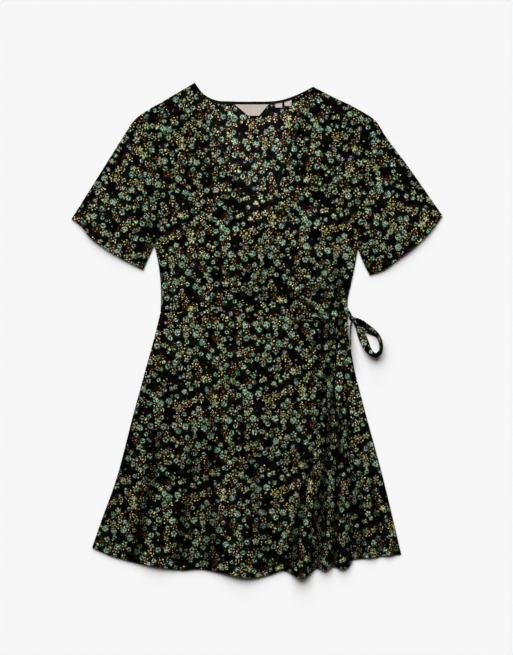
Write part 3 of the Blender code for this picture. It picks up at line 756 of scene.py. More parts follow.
def left_of(line):
    """The unit vector to the left of the line's own direction, at each of its points."""
    along = unit(np.gradient(line, axis=0))
    return np.stack([-along[:, 1], along[:, 0]], axis=1)


def set_back(line, distance):
    """The line moved to the left of its own direction by the distance, end points included."""
    return line + distance * left_of(line)


print("crossed neckline", round(run_along(smooth_line(OVER_NECKLINE, even(60)))[-1] / MM), "mm long")


# %% A patch between four edges
def share_along(line):
    """How far along the line each of its points is, from 0 to 1."""
    run = run_along(line)
    return run / run[-1]


def patch(top, bottom, left, right, rows):
    """A Coons patch: the two pairs of edges blended linearly, less the blend of the four corners."""
    left, right = left.copy(), right.copy()
    left[0], left[-1], right[0], right[-1] = top[0], bottom[0], top[-1], bottom[-1]
    v = rows[:, None, None]
    u = share_along(top)[None, :, None]
    between = (1 - v) * top[None] + v * bottom[None] + (1 - u) * left[:, None] + u * right[:, None]
    corners = (
        (1 - v) * (1 - u) * top[0] + (1 - v) * u * top[-1]
        + v * (1 - u) * bottom[0] + v * u * bottom[-1]
    )
    return between - corners


# %% [markdown]
# ## Folds
#
# Cloth that is laid out by hand keeps a few soft folds. At the side tie the over front is drawn together,
# so ridges fan out from there to the hem and up across the bodice. Between them run narrow valleys. The
# hem swings in broad waves, and the bust and the sleeves puff a little. A cloth simulation would put such
# folds where it likes, so here each one is listed: a raised cosine or a bell across a line. The
# broad folds are the solid model's own, and the finer creases, most of them under 3 mm high, come on top.

# %% Folds of the solid model
Fold = namedtuple("Fold", "start end width_start width_end height_start height_end")
Swell = namedtuple("Swell", "centre radius height")
GATHERS = [
    Fold(Spot(128, 14), Spot(84, -95), 10, 26, 2.0, 0.6),
    Fold(Spot(138, 12), Spot(104, -120), 10, 24, 2.4, 0.8),
    Fold(Spot(145, 10), Spot(79, -442), 10, 50, 3.0, 13.0),
    Fold(Spot(151, 10), Spot(122, -427), 9, 32, 3.0, 8.0),
    Fold(Spot(156, 10), Spot(154, -421), 8, 28, 2.4, 6.5),
]
DRAGS = [
    Fold(Spot(142, 26), Spot(20, 92), 12, 34, 2.6, 0.8),
    Fold(Spot(136, 20), Spot(-10, 48), 10, 30, 2.2, 0.6),
]
HEM_WAVES = [
    Fold(Spot(-120, -60), Spot(-181, -420), 50, 92, 0.6, 5.0),
    Fold(Spot(-60, -90), Spot(-30, -440), 60, 120, 0.6, 6.5),
]
UNDER_WAVES = [
    Fold(Spot(186, -150), Spot(205, -408), 12, 34, 0.4, 4.5),
    Fold(Spot(205, -215), Spot(236, -404), 10, 30, 0.4, 3.6),
]
OVER_BUST = Swell(Spot(-62, 165), 75, 4.5)
UNDER_BUST = Swell(Spot(100, 170), 60, 3.5)
print("broad folds:", sum(map(len, (GATHERS, DRAGS, HEM_WAVES, UNDER_WAVES))))


# %% Their heights
def ease(share):
    """A soft step: 0 below 0, 1 above 1, level at both ends."""
    share = np.clip(share, 0, 1)
    return share * share * (3 - 2 * share)


def bell(off, width):
    """A bell curve: e to the power of less the square of off over width."""
    return np.exp(-((off / width) ** 2))


def ridge(fold, place):
    """The height of one fold: a raised cosine across its line, whose width and height change along it."""
    start, end = np.array(fold.start) * MM, np.array(fold.end) * MM
    along = end - start
    t = np.clip(((place - start) @ along) / (along @ along), 0, 1)
    off = np.linalg.norm(place - (start + t[..., None] * along), axis=-1)
    width = (fold.width_start + t * (fold.width_end - fold.width_start)) * MM
    height = (fold.height_start + t * (fold.height_end - fold.height_start)) * MM
    return height * (0.5 + 0.5 * np.cos(2 * np.pi * np.clip(off / width, 0, 0.5)))


def swell(bump, place):
    """A soft round rise, a bell curve about its centre."""
    off = np.linalg.norm(place - np.array(bump.centre) * MM, axis=-1)
    return bump.height * MM * bell(off, bump.radius * MM)


def highest(folds, place):
    """The height of whichever fold is the highest at each place."""
    return np.max([ridge(fold, place) for fold in folds], axis=0)


def under_rise(place):
    """How far the under front stands above its flat lie."""
    return swell(UNDER_BUST, place) + highest(UNDER_WAVES, place)


def over_rise(place):
    """How far the over front stands above its flat lie: the under front's form and its own folds."""
    waves = sum(ridge(fold, place) for fold in HEM_WAVES)
    own = np.maximum(highest(GATHERS, place), highest(DRAGS, place))
    return swell(UNDER_BUST, place) + swell(OVER_BUST, place) + np.maximum(own, waves)


# %% Finer creases of the bodice
Crease = namedtuple("Crease", "start bend end width height")  # millimetres; a negative height is a trough
OVER_BODICE_CREASES = [
    Crease(Spot(152, 26), Spot(96, 62), Spot(46, 88), 6, 2.0),
    Crease(Spot(150, 22), Spot(84, 42), Spot(18, 58), 5.5, 1.8),
    Crease(Spot(148, 20), Spot(88, 26), Spot(32, 36), 4.5, 1.3),
    Crease(Spot(146, 36), Spot(94, 76), Spot(44, 112), 5, -1.2),
    Crease(Spot(150, 27), Spot(92, 50), Spot(22, 72), 5, -1.4),
    Crease(Spot(148, 20), Spot(104, 31), Spot(52, 44), 4, -1.2),
    Crease(Spot(160, 20), Spot(128, 17), Spot(84, 23), 5, -2.4),
    Crease(Spot(-92, 38), Spot(-76, 84), Spot(-68, 150), 6, -0.5),
    Crease(Spot(-98, 36), Spot(-84, 76), Spot(-82, 128), 6, 0.8),
    Crease(Spot(-168, 120), Spot(-138, 128), Spot(-104, 150), 9, 1.0),
    Crease(Spot(-160, 204), Spot(-132, 196), Spot(-98, 206), 10, 1.2),
    Crease(Spot(-150, 262), Spot(-120, 244), Spot(-92, 240), 9, 0.8),
    Crease(Spot(-128, 404), Spot(-118, 360), Spot(-112, 312), 12, 0.9),
    Crease(Spot(-148, 372), Spot(-128, 330), Spot(-118, 290), 9, -0.4),
    Crease(Spot(-60, 292), Spot(-78, 246), Spot(-84, 200), 12, 0.8),
    Crease(Spot(-24, 208), Spot(-10, 170), Spot(16, 132), 8, 0.7),
    Crease(Spot(-52, 58), Spot(-40, 100), Spot(-46, 140), 12, 0.7),
    Crease(Spot(-140, 44), Spot(-142, 84), Spot(-134, 116), 8, 0.7),
]
UNDER_BODICE_CREASES = [
    Crease(Spot(128, 400), Spot(122, 352), Spot(116, 300), 11, 0.8),
    Crease(Spot(146, 372), Spot(134, 330), Spot(128, 292), 8, -0.3),
    Crease(Spot(154, 206), Spot(126, 198), Spot(96, 208), 10, 1.0),
    Crease(Spot(166, 150), Spot(140, 138), Spot(108, 140), 9, 0.9),
    Crease(Spot(166, 98), Spot(146, 88), Spot(116, 96), 6, 1.6),
    Crease(Spot(162, 60), Spot(146, 72), Spot(112, 92), 5, 1.8),
    Crease(Spot(160, 44), Spot(146, 54), Spot(128, 70), 4, 1.4),
    Crease(Spot(164, 76), Spot(150, 74), Spot(126, 86), 4.5, -1.2),
    Crease(Spot(72, 300), Spot(80, 256), Spot(76, 214), 12, 0.7),
]

# %% Finer creases of the skirt
OVER_SKIRT_CREASES = [
    Crease(Spot(148, 16), Spot(122, -30), Spot(88, -62), 4.5, 2.6),
    Crease(Spot(152, 16), Spot(132, -42), Spot(112, -84), 4.0, 3.0),
    Crease(Spot(155, 16), Spot(141, -60), Spot(132, -120), 3.6, 2.6),
    Crease(Spot(140, 18), Spot(104, -6), Spot(64, -22), 5, 1.8),
    Crease(Spot(152, 8), Spot(128, -16), Spot(104, -46), 4, -2.0),
    Crease(Spot(156, 2), Spot(142, -36), Spot(122, -76), 4, -2.2),
    Crease(Spot(160, 20), Spot(128, 17), Spot(84, 23), 5, -2.4),
    Crease(Spot(146, -40), Spot(134, -94), Spot(134, -160), 6, -1.8),
    Crease(Spot(154, -56), Spot(160, -116), Spot(162, -186), 5, -2.6),
    Crease(Spot(118, -30), Spot(98, -74), Spot(90, -130), 7, -1.2),
    Crease(Spot(116, -120), Spot(100, -200), Spot(84, -280), 9, 1.8),
    Crease(Spot(146, -170), Spot(130, -230), Spot(128, -320), 7, 1.4),
    Crease(Spot(80, -206), Spot(108, -286), Spot(117, -418), 8.5, -5.0),
    Crease(Spot(99, -330), Spot(96, -370), Spot(99, -432), 4.5, -2.6),
    Crease(Spot(130, -304), Spot(136, -350), Spot(138, -430), 5, -3.0),
    Crease(Spot(160, -170), Spot(156, -240), Spot(152, -372), 5, -1.8),
    Crease(Spot(60, -60), Spot(36, -150), Spot(28, -260), 14, 0.9),
    Crease(Spot(70, -120), Spot(56, -220), Spot(46, -330), 12, -0.5),
    Crease(Spot(0, -30), Spot(-16, -120), Spot(-14, -230), 18, 0.8),
    Crease(Spot(-82, -30), Spot(-104, -130), Spot(-106, -240), 18, 0.9),
    Crease(Spot(-140, -10), Spot(-164, -90), Spot(-182, -190), 14, 0.8),
    Crease(Spot(-196, -130), Spot(-222, -240), Spot(-246, -340), 14, 0.9),
    Crease(Spot(-40, -280), Spot(-62, -350), Spot(-74, -424), 14, -0.3),
    Crease(Spot(-188, -270), Spot(-206, -340), Spot(-214, -404), 12, -0.15),
    Crease(Spot(20, -300), Spot(26, -360), Spot(44, -424), 10, -0.3),
]
UNDER_SKIRT_CREASES = [
    Crease(Spot(170, -90), Spot(182, -180), Spot(190, -280), 8, 0.9),
    Crease(Spot(180, -300), Spot(196, -356), Spot(208, -412), 7, -0.8),
    Crease(Spot(190, -230), Spot(210, -320), Spot(220, -408), 6, -0.7),
    Crease(Spot(202, -352), Spot(224, -372), Spot(248, -386), 7, -0.5),
    Crease(Spot(212, -290), Spot(232, -340), Spot(246, -390), 8, 0.8),
]

# %% Finer creases of a sleeve, by its own shares: from the armhole to the cuff, and from the fold down
SLEEVE_CREASES = [
    Crease(Spot(0.02, 0.80), Spot(0.30, 0.66), Spot(0.62, 0.60), 0.050, 1.4),
    Crease(Spot(0.02, 0.90), Spot(0.26, 0.82), Spot(0.50, 0.80), 0.040, 1.2),
    Crease(Spot(0.04, 0.58), Spot(0.36, 0.44), Spot(0.80, 0.42), 0.060, 1.0),
    Crease(Spot(0.00, 0.36), Spot(0.30, 0.28), Spot(0.66, 0.30), 0.050, 0.8),
    Crease(Spot(0.30, 0.90), Spot(0.60, 0.84), Spot(0.98, 0.86), 0.050, 1.2),
    Crease(Spot(0.46, 0.16), Spot(0.70, 0.12), Spot(1.00, 0.18), 0.050, 1.0),
    Crease(Spot(0.50, 0.54), Spot(0.76, 0.56), Spot(1.00, 0.64), 0.045, 1.1),
]

# %% The height of the creases
CREASE_STEPS = 24
CREASE_TAPER = 0.7  # under 1 keeps a crease high for longer before it dies out


def creased(creases, place, unit_length):
    """The sum of creases: each is a bell across a quadratic curve that passes through its bend.

    The bell's height is tapered to nothing at the curve's ends, by a power of half a sine wave.
    """
    total = np.zeros(place.shape[:2])
    t = np.linspace(0, 1, CREASE_STEPS)
    for crease in creases:
        start, bend, end = (np.array(spot) * unit_length for spot in (crease.start, crease.bend, crease.end))
        middle = 2 * bend - (start + end) / 2
        line = ((1 - t) ** 2)[:, None] * start + (2 * t * (1 - t))[:, None] * middle + (t**2)[:, None] * end
        from_start, step = line[:-1], np.diff(line, axis=0)
        way = place[:, :, None, :] - from_start
        part = np.clip((way * step).sum(-1) / (step * step).sum(-1), 0, 1)
        off = np.linalg.norm(way - part[..., None] * step, axis=-1)
        nearest = off.argmin(-1)
        off = np.take_along_axis(off, nearest[..., None], -1)[..., 0]
        along = (nearest + np.take_along_axis(part, nearest[..., None], -1)[..., 0]) / (CREASE_STEPS - 1)
        taper = np.sin(np.pi * np.clip(along, 0, 1)) ** CREASE_TAPER
        total += crease.height * MM * taper * bell(off, crease.width * unit_length)
    return total


# %% [markdown]
# ## From a grid to a sewn piece
#
# Each cut piece is a thin shell: a grid of places with a height, given a wall by the Solidify modifier,
# whose lower side takes a paler finish, as the wrong side of a print is. The wall could be a second grid,
# but the modifier keeps it even over every fold.
#
# The cloth's own coordinates, its UV map, are the lengths along the threads, so a print crosses a fold
# without being squeezed. Only the gathers squeeze it: their smallest folds are finer than the mesh, and
# the cloth that they hide is counted in by a share.

# %% Walls and layers
CLOTH = 1.5 * MM  # the solid model's wall
GAP = 0.3 * MM
LAYER = CLOTH + GAP
WALL = 0.6 * MM  # the shell's own wall
print("a layer is", round(LAYER / MM, 2), "mm")


# %% The cloth's own coordinates
def turned(places, turn, shift):
    """Places turned about the origin by so many degrees and then shifted by so many millimetres."""
    angle = math.radians(turn)
    return np.stack([
        places[..., 0] * math.cos(angle) - places[..., 1] * math.sin(angle) + shift[0] * MM,
        places[..., 0] * math.sin(angle) + places[..., 1] * math.cos(angle) + shift[1] * MM,
    ], axis=-1)


def threads(points, turn, shift, hidden):
    """Lengths along the threads: the plan place plus what each row and column gains by rising.

    The gain is the sum of the steps' real lengths less their plan lengths, counted from the middle. A
    row also gains the share of its plan length that is hidden in folds too small for the mesh.
    """
    def gain(axis, share):
        """The gain along one axis of the grid."""
        step = np.diff(points, axis=axis)
        extra = np.linalg.norm(step, axis=-1) - np.linalg.norm(step[..., :2], axis=-1) * (1 - share)
        total = np.insert(np.cumsum(extra, axis=axis), 0, 0, axis=axis)
        return total - np.take(total, [points.shape[axis] // 2], axis=axis)

    across = points[..., 0] + gain(1, hidden)
    up = points[..., 1] - gain(0, 0)
    return turned(np.stack([across, up], axis=-1), turn, shift)


# %% Grid to mesh, mesh to piece
def mesh_from_grid(name, points, cut, wraps=False):
    """A mesh of quads over a grid, upper side out, with the cloth's coordinates as its UV map."""
    rows, columns = points.shape[:2]
    index = np.arange(rows * columns).reshape(rows, columns)
    if wraps:
        index = np.concatenate([index, index[:, :1]], axis=1)
        cut = np.concatenate([cut, cut[:, -1:] + cut[:, 1:2] - cut[:, :1]], axis=1)
    quads = np.stack([index[:-1, :-1], index[1:, :-1], index[1:, 1:], index[:-1, 1:]], axis=-1)
    mesh = bpy.data.meshes.new(name)
    mesh.from_pydata(points.reshape(-1, 3).tolist(), [], quads.reshape(-1, 4).tolist())
    corner = np.stack([cut[:-1, :-1], cut[1:, :-1], cut[1:, 1:], cut[:-1, 1:]], axis=2)
    mesh.uv_layers.new(name="cut").data.foreach_set("uv", corner.ravel())
    mesh.shade_smooth()
    return mesh


def add_piece(mesh, materials, node):
    """An object of the mesh that stands for the node and rides on the dress."""
    for material in materials:
        mesh.materials.append(material)
    piece = bpy.data.objects.new(f"{node}_cloth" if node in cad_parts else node, mesh)
    scene.collection.objects.link(piece)
    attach(piece, "root")
    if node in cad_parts:
        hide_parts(node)
    return piece


def give_wall(piece, thickness):
    """A wall about the middle surface; its lower side takes the second finish."""
    wall = piece.modifiers.new("wall", "SOLIDIFY")
    wall.thickness = thickness
    wall.offset = 0
    wall.use_even_offset = False
    wall.material_offset = 1
    wall.material_offset_rim = 0


# %% [markdown]
# ## Shade in the hollows
#
# A real dress has folds that are deeper and sharper than a grid of a few millimetres can hold, and light
# is lost in them. So each point carries a number, called "sunk", that darkens the print as painted shade:
# how far the point lies under the mean height round it, near by and further off. More painted shade comes
# on top along the seam under each arm, along lines where cloth is drawn together, beside edges that cross
# over other cloth, and over the skirts, more and more towards the hem, as of light that falls off there.
# Baking real occlusion would cost minutes for the same soft dark lines.

# %% How far a point is sunk
HOLLOWS = [(12, 1.1), (120, 0.9)]  # rounds of averaging and weight: hollows near by and further off
DARKER_BY = 230  # millimetres below the middle of the dress, where the skirts are at their darkest


def sunken(height, rounds):
    """How far each point lies under its surroundings.

    The surroundings are the heights averaged with their four neighbours', so many times over.
    """
    around = height
    for _ in range(rounds):
        wide = np.pad(around, 1, mode="edge")
        neighbours = wide[1:-1, :-2] + wide[1:-1, 2:] + wide[:-2, 1:-1] + wide[2:, 1:-1]
        around = (around + neighbours / 4) / 2
    return np.clip(around - height, 0, None)


def in_hollows(height):
    """The weighted sum of how far each point is sunk, for heights in metres."""
    return sum(weight * sunken(height / MM, rounds) for rounds, weight in HOLLOWS)


def beside(line, places, reach):
    """1 along a line and fading to nothing, as a bell, at about twice the reach."""
    off = np.linalg.norm(places[:, :, None] - line, axis=-1).min(axis=-1)
    return bell(off, reach)


def beside_seam(spots, count, places, reach):
    """The same along a seam through spots, with its reach in millimetres, from count points on the seam."""
    return beside(smooth_line(spots, even(count)), places, reach * MM)


def down_skirt(places):
    """Painted shade, as of light that falls off towards the hem: how much darker the skirts grow from the
    waist to the hem, most of all towards the left-hand side.

    It is a soft step over DARKER_BY millimetres, times a share that falls evenly from left to right.
    """
    down = ease(-places[..., 1] / (DARKER_BY * MM))
    return 0.03 + down * (0.17 - 0.10 * np.clip(places[..., 0] / (250 * MM), -1, 0.5))


def darken(mesh, sunk):
    """Gives each point of the mesh its painted shade, a number between 0 and 1."""
    mesh.attributes.new("sunk", "FLOAT", "POINT").data.foreach_set("value", np.clip(sunk, 0, 1).ravel())


# %% [markdown]
# ## Stitches
#
# A turned hem is held by a row of small black stitches, a few millimetres in from the edge. On a piece
# that is a grid, the row is found by asking each column where it passes that distance. Each stitch is a
# blunt spindle, about three times as long as the gap to the next one, and all of a piece's stitches are
# one mesh, because hundreds of objects would slow everything down.

# %% Rows of stitches
STITCH = np.array([1.15, 0.20, 0.16]) * MM  # half its length, half its width and half its height
PITCH = 3.1 * MM
STITCH_RINGS = np.array([-1.0, -0.92, -0.5, 0.0, 0.5, 0.92, 1.0])
STITCH_SIDES = 6


def stitch_line(points, distance, allowance):
    """Where each column of the grid is as far from the edge as the allowance: a line of points."""
    past = distance > allowance * MM
    if past[-1].all():
        points, past, distance = points[::-1], past[::-1], distance[::-1]
    row = past.argmin(axis=0)[None]
    near, far = np.take_along_axis(distance, row, 0)[0], np.take_along_axis(distance, row - 1, 0)[0]
    t = ((far - allowance * MM) / (far - near))[:, None]
    start = np.take_along_axis(points, row[..., None] - 1, 0)[0]
    end = np.take_along_axis(points, row[..., None], 0)[0]
    return start + t * (end - start)


def stitches(name, lines):
    """Small stitches in one mesh: each is a spindle along the line, round across, and blunt at its ends.

    Along its half length t, from -1 to 1, a spindle's girth is the root of 1 less the sixth power of t.
    """
    centre, ahead = [], []
    for line in lines:
        run = run_along(line)
        middle = np.arange(PITCH, run[-1] - PITCH, PITCH)
        for shift, kept in ((0, centre), (PITCH / 4, ahead)):
            kept.append(np.column_stack([np.interp(middle + shift, run, axis) for axis in line.T]))
    centre, ahead = np.concatenate(centre), np.concatenate(ahead)
    along = unit(ahead - centre)
    side = np.column_stack([-along[:, 1], along[:, 0], np.zeros(len(along))])
    up = np.cross(along, side)
    t = STITCH_RINGS[:, None]
    turn = np.linspace(0, 2 * np.pi, STITCH_SIDES, endpoint=False)[None, :]
    girth = np.sqrt(1 - 0.999 * t**6)
    spindle = np.dstack([t + 0 * turn, girth * np.cos(turn), girth * np.sin(turn)]) * STITCH
    frames = np.stack([along, side, up], axis=1)
    lift = WALL / 2 + STITCH[2] / 2
    points = np.einsum("rtk,nkx->nrtx", spindle, frames) + centre[:, None, None] + [0, 0, lift]
    count, rings, turns = points.shape[:3]
    index = np.arange(count * rings * turns).reshape(count, rings, turns)
    index = np.concatenate([index, index[..., :1]], axis=2)
    quads = np.stack([index[:, :-1, :-1], index[:, :-1, 1:], index[:, 1:, 1:], index[:, 1:, :-1]], axis=-1)
    mesh = bpy.data.meshes.new(name)
    mesh.from_pydata(points.reshape(-1, 3).tolist(), [], quads.reshape(-1, 4).tolist())
    mesh.shade_smooth()
    print(name, count)
    return add_piece(mesh, [THREAD], name)


# %% A cut piece
def cloth_piece(
    node, points, turn, shift, finishes=(CLOTH_PRINT, WRONG_SIDE), painted_shade=0.0, sewn=(), hidden=0.0
):
    """A cut piece from its grid of points; it prints the grid's size, its top and its laid area.

    The turn, in degrees, and the shift, in millimetres, say where the piece lay on the printed cloth.
    """
    mesh = mesh_from_grid(f"{node}_cloth", points, threads(points, turn, shift, hidden))
    # painted shade: the hollows' own, plus the lines and the fall towards the hem that the caller adds
    darken(mesh, in_hollows(points[..., 2]) + painted_shade)
    laid = sum(face.area for face in mesh.polygons)
    top = points[..., 2].max() / MM
    print(node, points.shape[:2], "top", round(top, 1), "mm, laid", round(laid, 4), "m2")
    piece = add_piece(mesh, finishes, node)
    give_wall(piece, WALL)
    trims = [stitches(f"{node}_stitches", sewn)] if sewn else []
    return piece


# %% Edges
SEWN = 2.4  # how far in from a sewn edge the cloth begins to dip, in millimetres as all of these
FREE = 1.2  # the same at a free edge, which is thinner
SEW_DROP = LAYER / MM - 0.6  # a front dips by so much to meet the back at a sewn edge
REST_DROP = 0.9  # a free edge settles by so much onto what lies under it
BACK_NECK_HEM = 6
NECKLINE_HEM = 7
WRAP_HEM_WIDTH = 10
CUFF_HEM = 12
SKIRT_HEM = 14
HEM_RISE, HEM_SOFT = 0.35, 1.5  # what the doubled cloth adds, and over how far it falls away
HEM_GROOVE, HEM_GROOVE_WIDTH = 0.30, 1.1
print("a sewn edge dips by", round(SEW_DROP, 2), "mm")


def edge_distances(places):
    """How far each point of a grid is from the grid's top, bottom, left and right edges."""
    def away(edge):
        """How far each point is from the edge's point in its own row or column."""
        return np.linalg.norm(places - edge, axis=-1)

    return away(places[:1]), away(places[-1:]), away(places[:, :1]), away(places[:, -1:])


def rolled(distance, width, drop):
    """A quarter round: the drop at the edge, nothing at the width and beyond."""
    t = np.clip(1 - distance / (width * MM), 0, 1)
    return drop * MM * (1 - np.sqrt(1 - t * t))


def hemmed(distance, allowance):
    """A turned hem: a soft step down at the stitches, less a bell for the groove that they pull."""
    past = distance / MM - allowance
    step = HEM_RISE * MM * (1 - ease(past / HEM_SOFT))
    groove = HEM_GROOVE * MM * bell(past, HEM_GROOVE_WIDTH)
    return step - groove


def armhole(spots, fractions, side):
    """An armhole's line from the shoulder down, moved by half the seam's gap: +1 left, -1 right."""
    return set_back(smooth_line(spots, fractions), side * GAP / 2)


def body_side(armhole_spots, side_spots, side):
    """An armhole and the side seam below it, as one edge with the same number of points on every piece."""
    upper, lower = close_at_ends(80), close_at_ends(42)
    return joined(armhole(armhole_spots, upper, side), smooth_line(side_spots, lower))


# %% [markdown]
# ## The back
#
# The back lies face down on the table, so that its wrong side shows in the neckline. It is one piece
# above the waist seam and one below. The fronts hide nearly all of it, so it stays flat: a hem at the
# neck, a pressed crease down the middle, and shade along the two edges that cross over it.

# %% Back bodice and back skirt
INSIDE_UP = (WRONG_SIDE, CLOTH_PRINT)
PRESSED_ACROSS, PRESSED_WIDTH, PRESSED_HEIGHT = -9 * MM, 1.2 * MM, 0.30 * MM


def back_bodice():
    """A flat patch; the pressed crease is a bell across its middle that starts below the neck."""
    left = body_side(ARMHOLE_LEFT, SIDE_LEFT, 1)
    right = body_side(ARMHOLE_RIGHT, SIDE_RIGHT, -1)
    neck = joined(
        smooth_line(SHOULDER_SEAM_LEFT, even(14)),
        smooth_line(BACK_NECK, even(60)),
        smooth_line(SHOULDER_SEAM_RIGHT, even(14))[::-1],
    )
    waist = smooth_line([WAIST_LEFT, WAIST_RIGHT], share_along(neck)) + [0, GAP / 2]
    places = patch(neck, waist, left, right, even(len(left) - 1))
    at_top, at_bottom, _, _ = edge_distances(places)
    height = CLOTH / 2 + hemmed(at_top, BACK_NECK_HEM) - rolled(at_bottom, 2.0, 0.3)
    pressed = bell(places[..., 0] - PRESSED_ACROSS, PRESSED_WIDTH)
    height += PRESSED_HEIGHT * pressed * ease((at_top / MM - 12) / 20)
    points = np.dstack([places, height])
    # painted shade beside the two necklines that cross over the back
    necklines = [beside_seam(edge, 240, places, reach=4) for edge in (OVER_NECKLINE, UNDER_NECKLINE)]
    painted_shade = 0.8 * np.maximum(*necklines)
    sewn = [stitch_line(points, at_top, BACK_NECK_HEM)]
    cloth_piece("back_bodice", points, turn=2.0, shift=(31, 12),
                finishes=INSIDE_UP, painted_shade=painted_shade, sewn=sewn)


def back_skirt():
    """A flat patch with a faint hem."""
    columns = close_at_ends(96)
    rows = close_at_ends(72)
    waist = smooth_line([WAIST_LEFT, WAIST_RIGHT], columns) - [0, GAP / 2]
    hem = smooth_line(BACK_HEM, columns)
    left, right = smooth_line(SKIRT_LEFT, rows), smooth_line(SKIRT_RIGHT, rows)
    places = patch(waist, hem, left, right, rows)
    at_top, at_bottom, _, _ = edge_distances(places)
    height = CLOTH / 2 + 0.2 * hemmed(at_bottom, 12) - rolled(at_top, 2.0, 0.3)
    points = np.dstack([places, height])
    cloth_piece("back_skirt", points, turn=-4.0, shift=(8, 55),
                finishes=INSIDE_UP)


back_bodice()
back_skirt()

# %% [markdown]
# ## The under front
#
# The front from the right-hand side crosses under the other one, and its skirt reaches nearly to the far
# side seam. A sewn edge dips until it meets the back, and a free one ends in a turned hem and settles on
# what lies under it. Both are taken off the height as quarter rounds by the distance from the edge, so
# they need no mesh of their own, only a few rows of points close to the edge.

# %% Under bodice
DRAWN_SIDE = [Spot(156, 18), Spot(146, 58), Spot(142, 108)]  # where the tie draws the cloth into shade


def under_bodice():
    """The under front's rise and creases above the waist."""
    right = body_side(ARMHOLE_RIGHT, SIDE_RIGHT, -1)
    left = smooth_line(UNDER_NECKLINE, share_along(right))
    columns = close_at_ends(100)
    shoulder = smooth_line(SHOULDER_SEAM_RIGHT[::-1], columns)
    waist = smooth_line([LAP_WAIST, WAIST_RIGHT], columns) + [0, GAP / 2]
    places = patch(shoulder, waist, left, right, even(len(left) - 1))
    at_top, at_bottom, at_left, at_right = edge_distances(places)
    height = LAYER + CLOTH / 2 + under_rise(places) + creased(UNDER_BODICE_CREASES, places, MM)
    height += hemmed(at_left, NECKLINE_HEM) - rolled(at_left, FREE, 0.5)
    height -= rolled(at_right, SEWN, SEW_DROP) + rolled(at_top, SEWN, SEW_DROP) + rolled(at_bottom, SEWN, 0.7)
    # painted shade beside the crossing neckline, and where the tie draws the side together
    painted_shade = 0.8 * beside_seam(OVER_NECKLINE, 240, places, reach=4)
    painted_shade += 0.5 * beside_seam(DRAWN_SIDE, 40, places, reach=12)
    points = np.dstack([places, height])
    sewn = [stitch_line(points.transpose(1, 0, 2), at_left.T, NECKLINE_HEM)]
    cloth_piece("under_bodice", points, turn=7.0, shift=(70, 20),
                painted_shade=painted_shade, sewn=sewn)


under_bodice()


# %% Under skirt
def under_skirt_height(places):
    """The middle of the under skirt's wall away from its edges."""
    return LAYER + CLOTH / 2 + under_rise(places) + creased(UNDER_SKIRT_CREASES, places, MM)


def under_skirt():
    """The under front's rise and creases below the waist, with painted shade beside the wrap edge and towards
    the hem.
    """
    columns = close_at_ends(100)
    rows = close_at_ends(130)
    waist = smooth_line([LAP_WAIST, WAIST_RIGHT], columns) - [0, GAP / 2]
    hem = smooth_line(UNDER_HEM, columns)
    lap = smooth_line([LAP_WAIST, LAP_HEM], rows)
    side = smooth_line(SKIRT_RIGHT, rows)
    places = patch(waist, hem, lap, side, rows)
    at_top, at_bottom, at_left, at_right = edge_distances(places)
    height = under_skirt_height(places)
    height += hemmed(at_bottom, SKIRT_HEM) - rolled(at_bottom, FREE, 0.4)
    height -= rolled(at_right, SEWN, SEW_DROP) + rolled(at_top, SEWN, 0.7) + rolled(at_left, FREE, 0.3)
    # painted shade towards the hem, and beside the wrap edge that lies over this piece
    painted_shade = down_skirt(places) + 0.6 * beside_seam(WRAP_EDGE, 300, places, reach=4)
    points = np.dstack([places, height])
    sewn = [stitch_line(points, at_bottom, SKIRT_HEM)]
    cloth_piece("under_skirt", points, turn=-5.0, shift=(20, 90),
                painted_shade=painted_shade, sewn=sewn)


under_skirt()

# %% [markdown]
# ## The over front
#
# The over front lies on the under one, so its wall climbs by a layer from the side seam. Its folds fan
# out from the tie, and where they dip, the height is the greater of its own form and the under skirt's
# with a little air, so no valley cuts through. Its columns of points crowd towards the gathers, where
# the folds are narrow. Solid folds and fine creases are both plain sums over the grid.

# %% Over bodice
CLIMB = 0.1  # the share of the piece within which it climbs onto the under front


def over_height(places, from_left, from_top):
    """The middle of the over front's wall: it climbs from the side seam onto the under front."""
    climb = ease(from_left / CLIMB) * ease(from_top / CLIMB)
    return LAYER + climb * LAYER + over_rise(places) + CLOTH / 2


def over_bodice():
    """The over front's rise and creases above the waist."""
    left = body_side(ARMHOLE_LEFT, SIDE_LEFT, 1)
    right = smooth_line(OVER_NECKLINE, share_along(left))
    columns = close_at_ends(116)
    shoulder = smooth_line(SHOULDER_SEAM_LEFT, columns)
    waist = smooth_line(OVER_WAIST, columns) + [0, GAP / 2]
    rows = even(len(left) - 1)
    places = patch(shoulder, waist, left, right, rows)
    at_top, at_bottom, at_left, at_right = edge_distances(places)
    height = over_height(places, columns[None, :], rows[:, None])
    height += creased(OVER_BODICE_CREASES, places, MM)
    height += hemmed(at_right, NECKLINE_HEM) - rolled(at_right, FREE, REST_DROP)
    height -= rolled(at_left, SEWN, SEW_DROP) + rolled(at_top, SEWN, SEW_DROP) + rolled(at_bottom, SEWN, 0.8)
    points = np.dstack([places, height])
    sewn = [stitch_line(points.transpose(1, 0, 2), at_right.T, NECKLINE_HEM)]
    # painted shade where the tie draws the side together
    painted_shade = 0.5 * beside_seam(DRAWN_SIDE, 40, places, reach=12)
    cloth_piece("over_bodice", points, turn=-6.0, shift=(12, 40),
                painted_shade=painted_shade, sewn=sewn)


over_bodice()

# %% Over skirt
CLEAR = 0.4 * MM  # what a fold's valley keeps from the cloth under it
CROWDING = 0.15  # how much the columns crowd towards the gathers
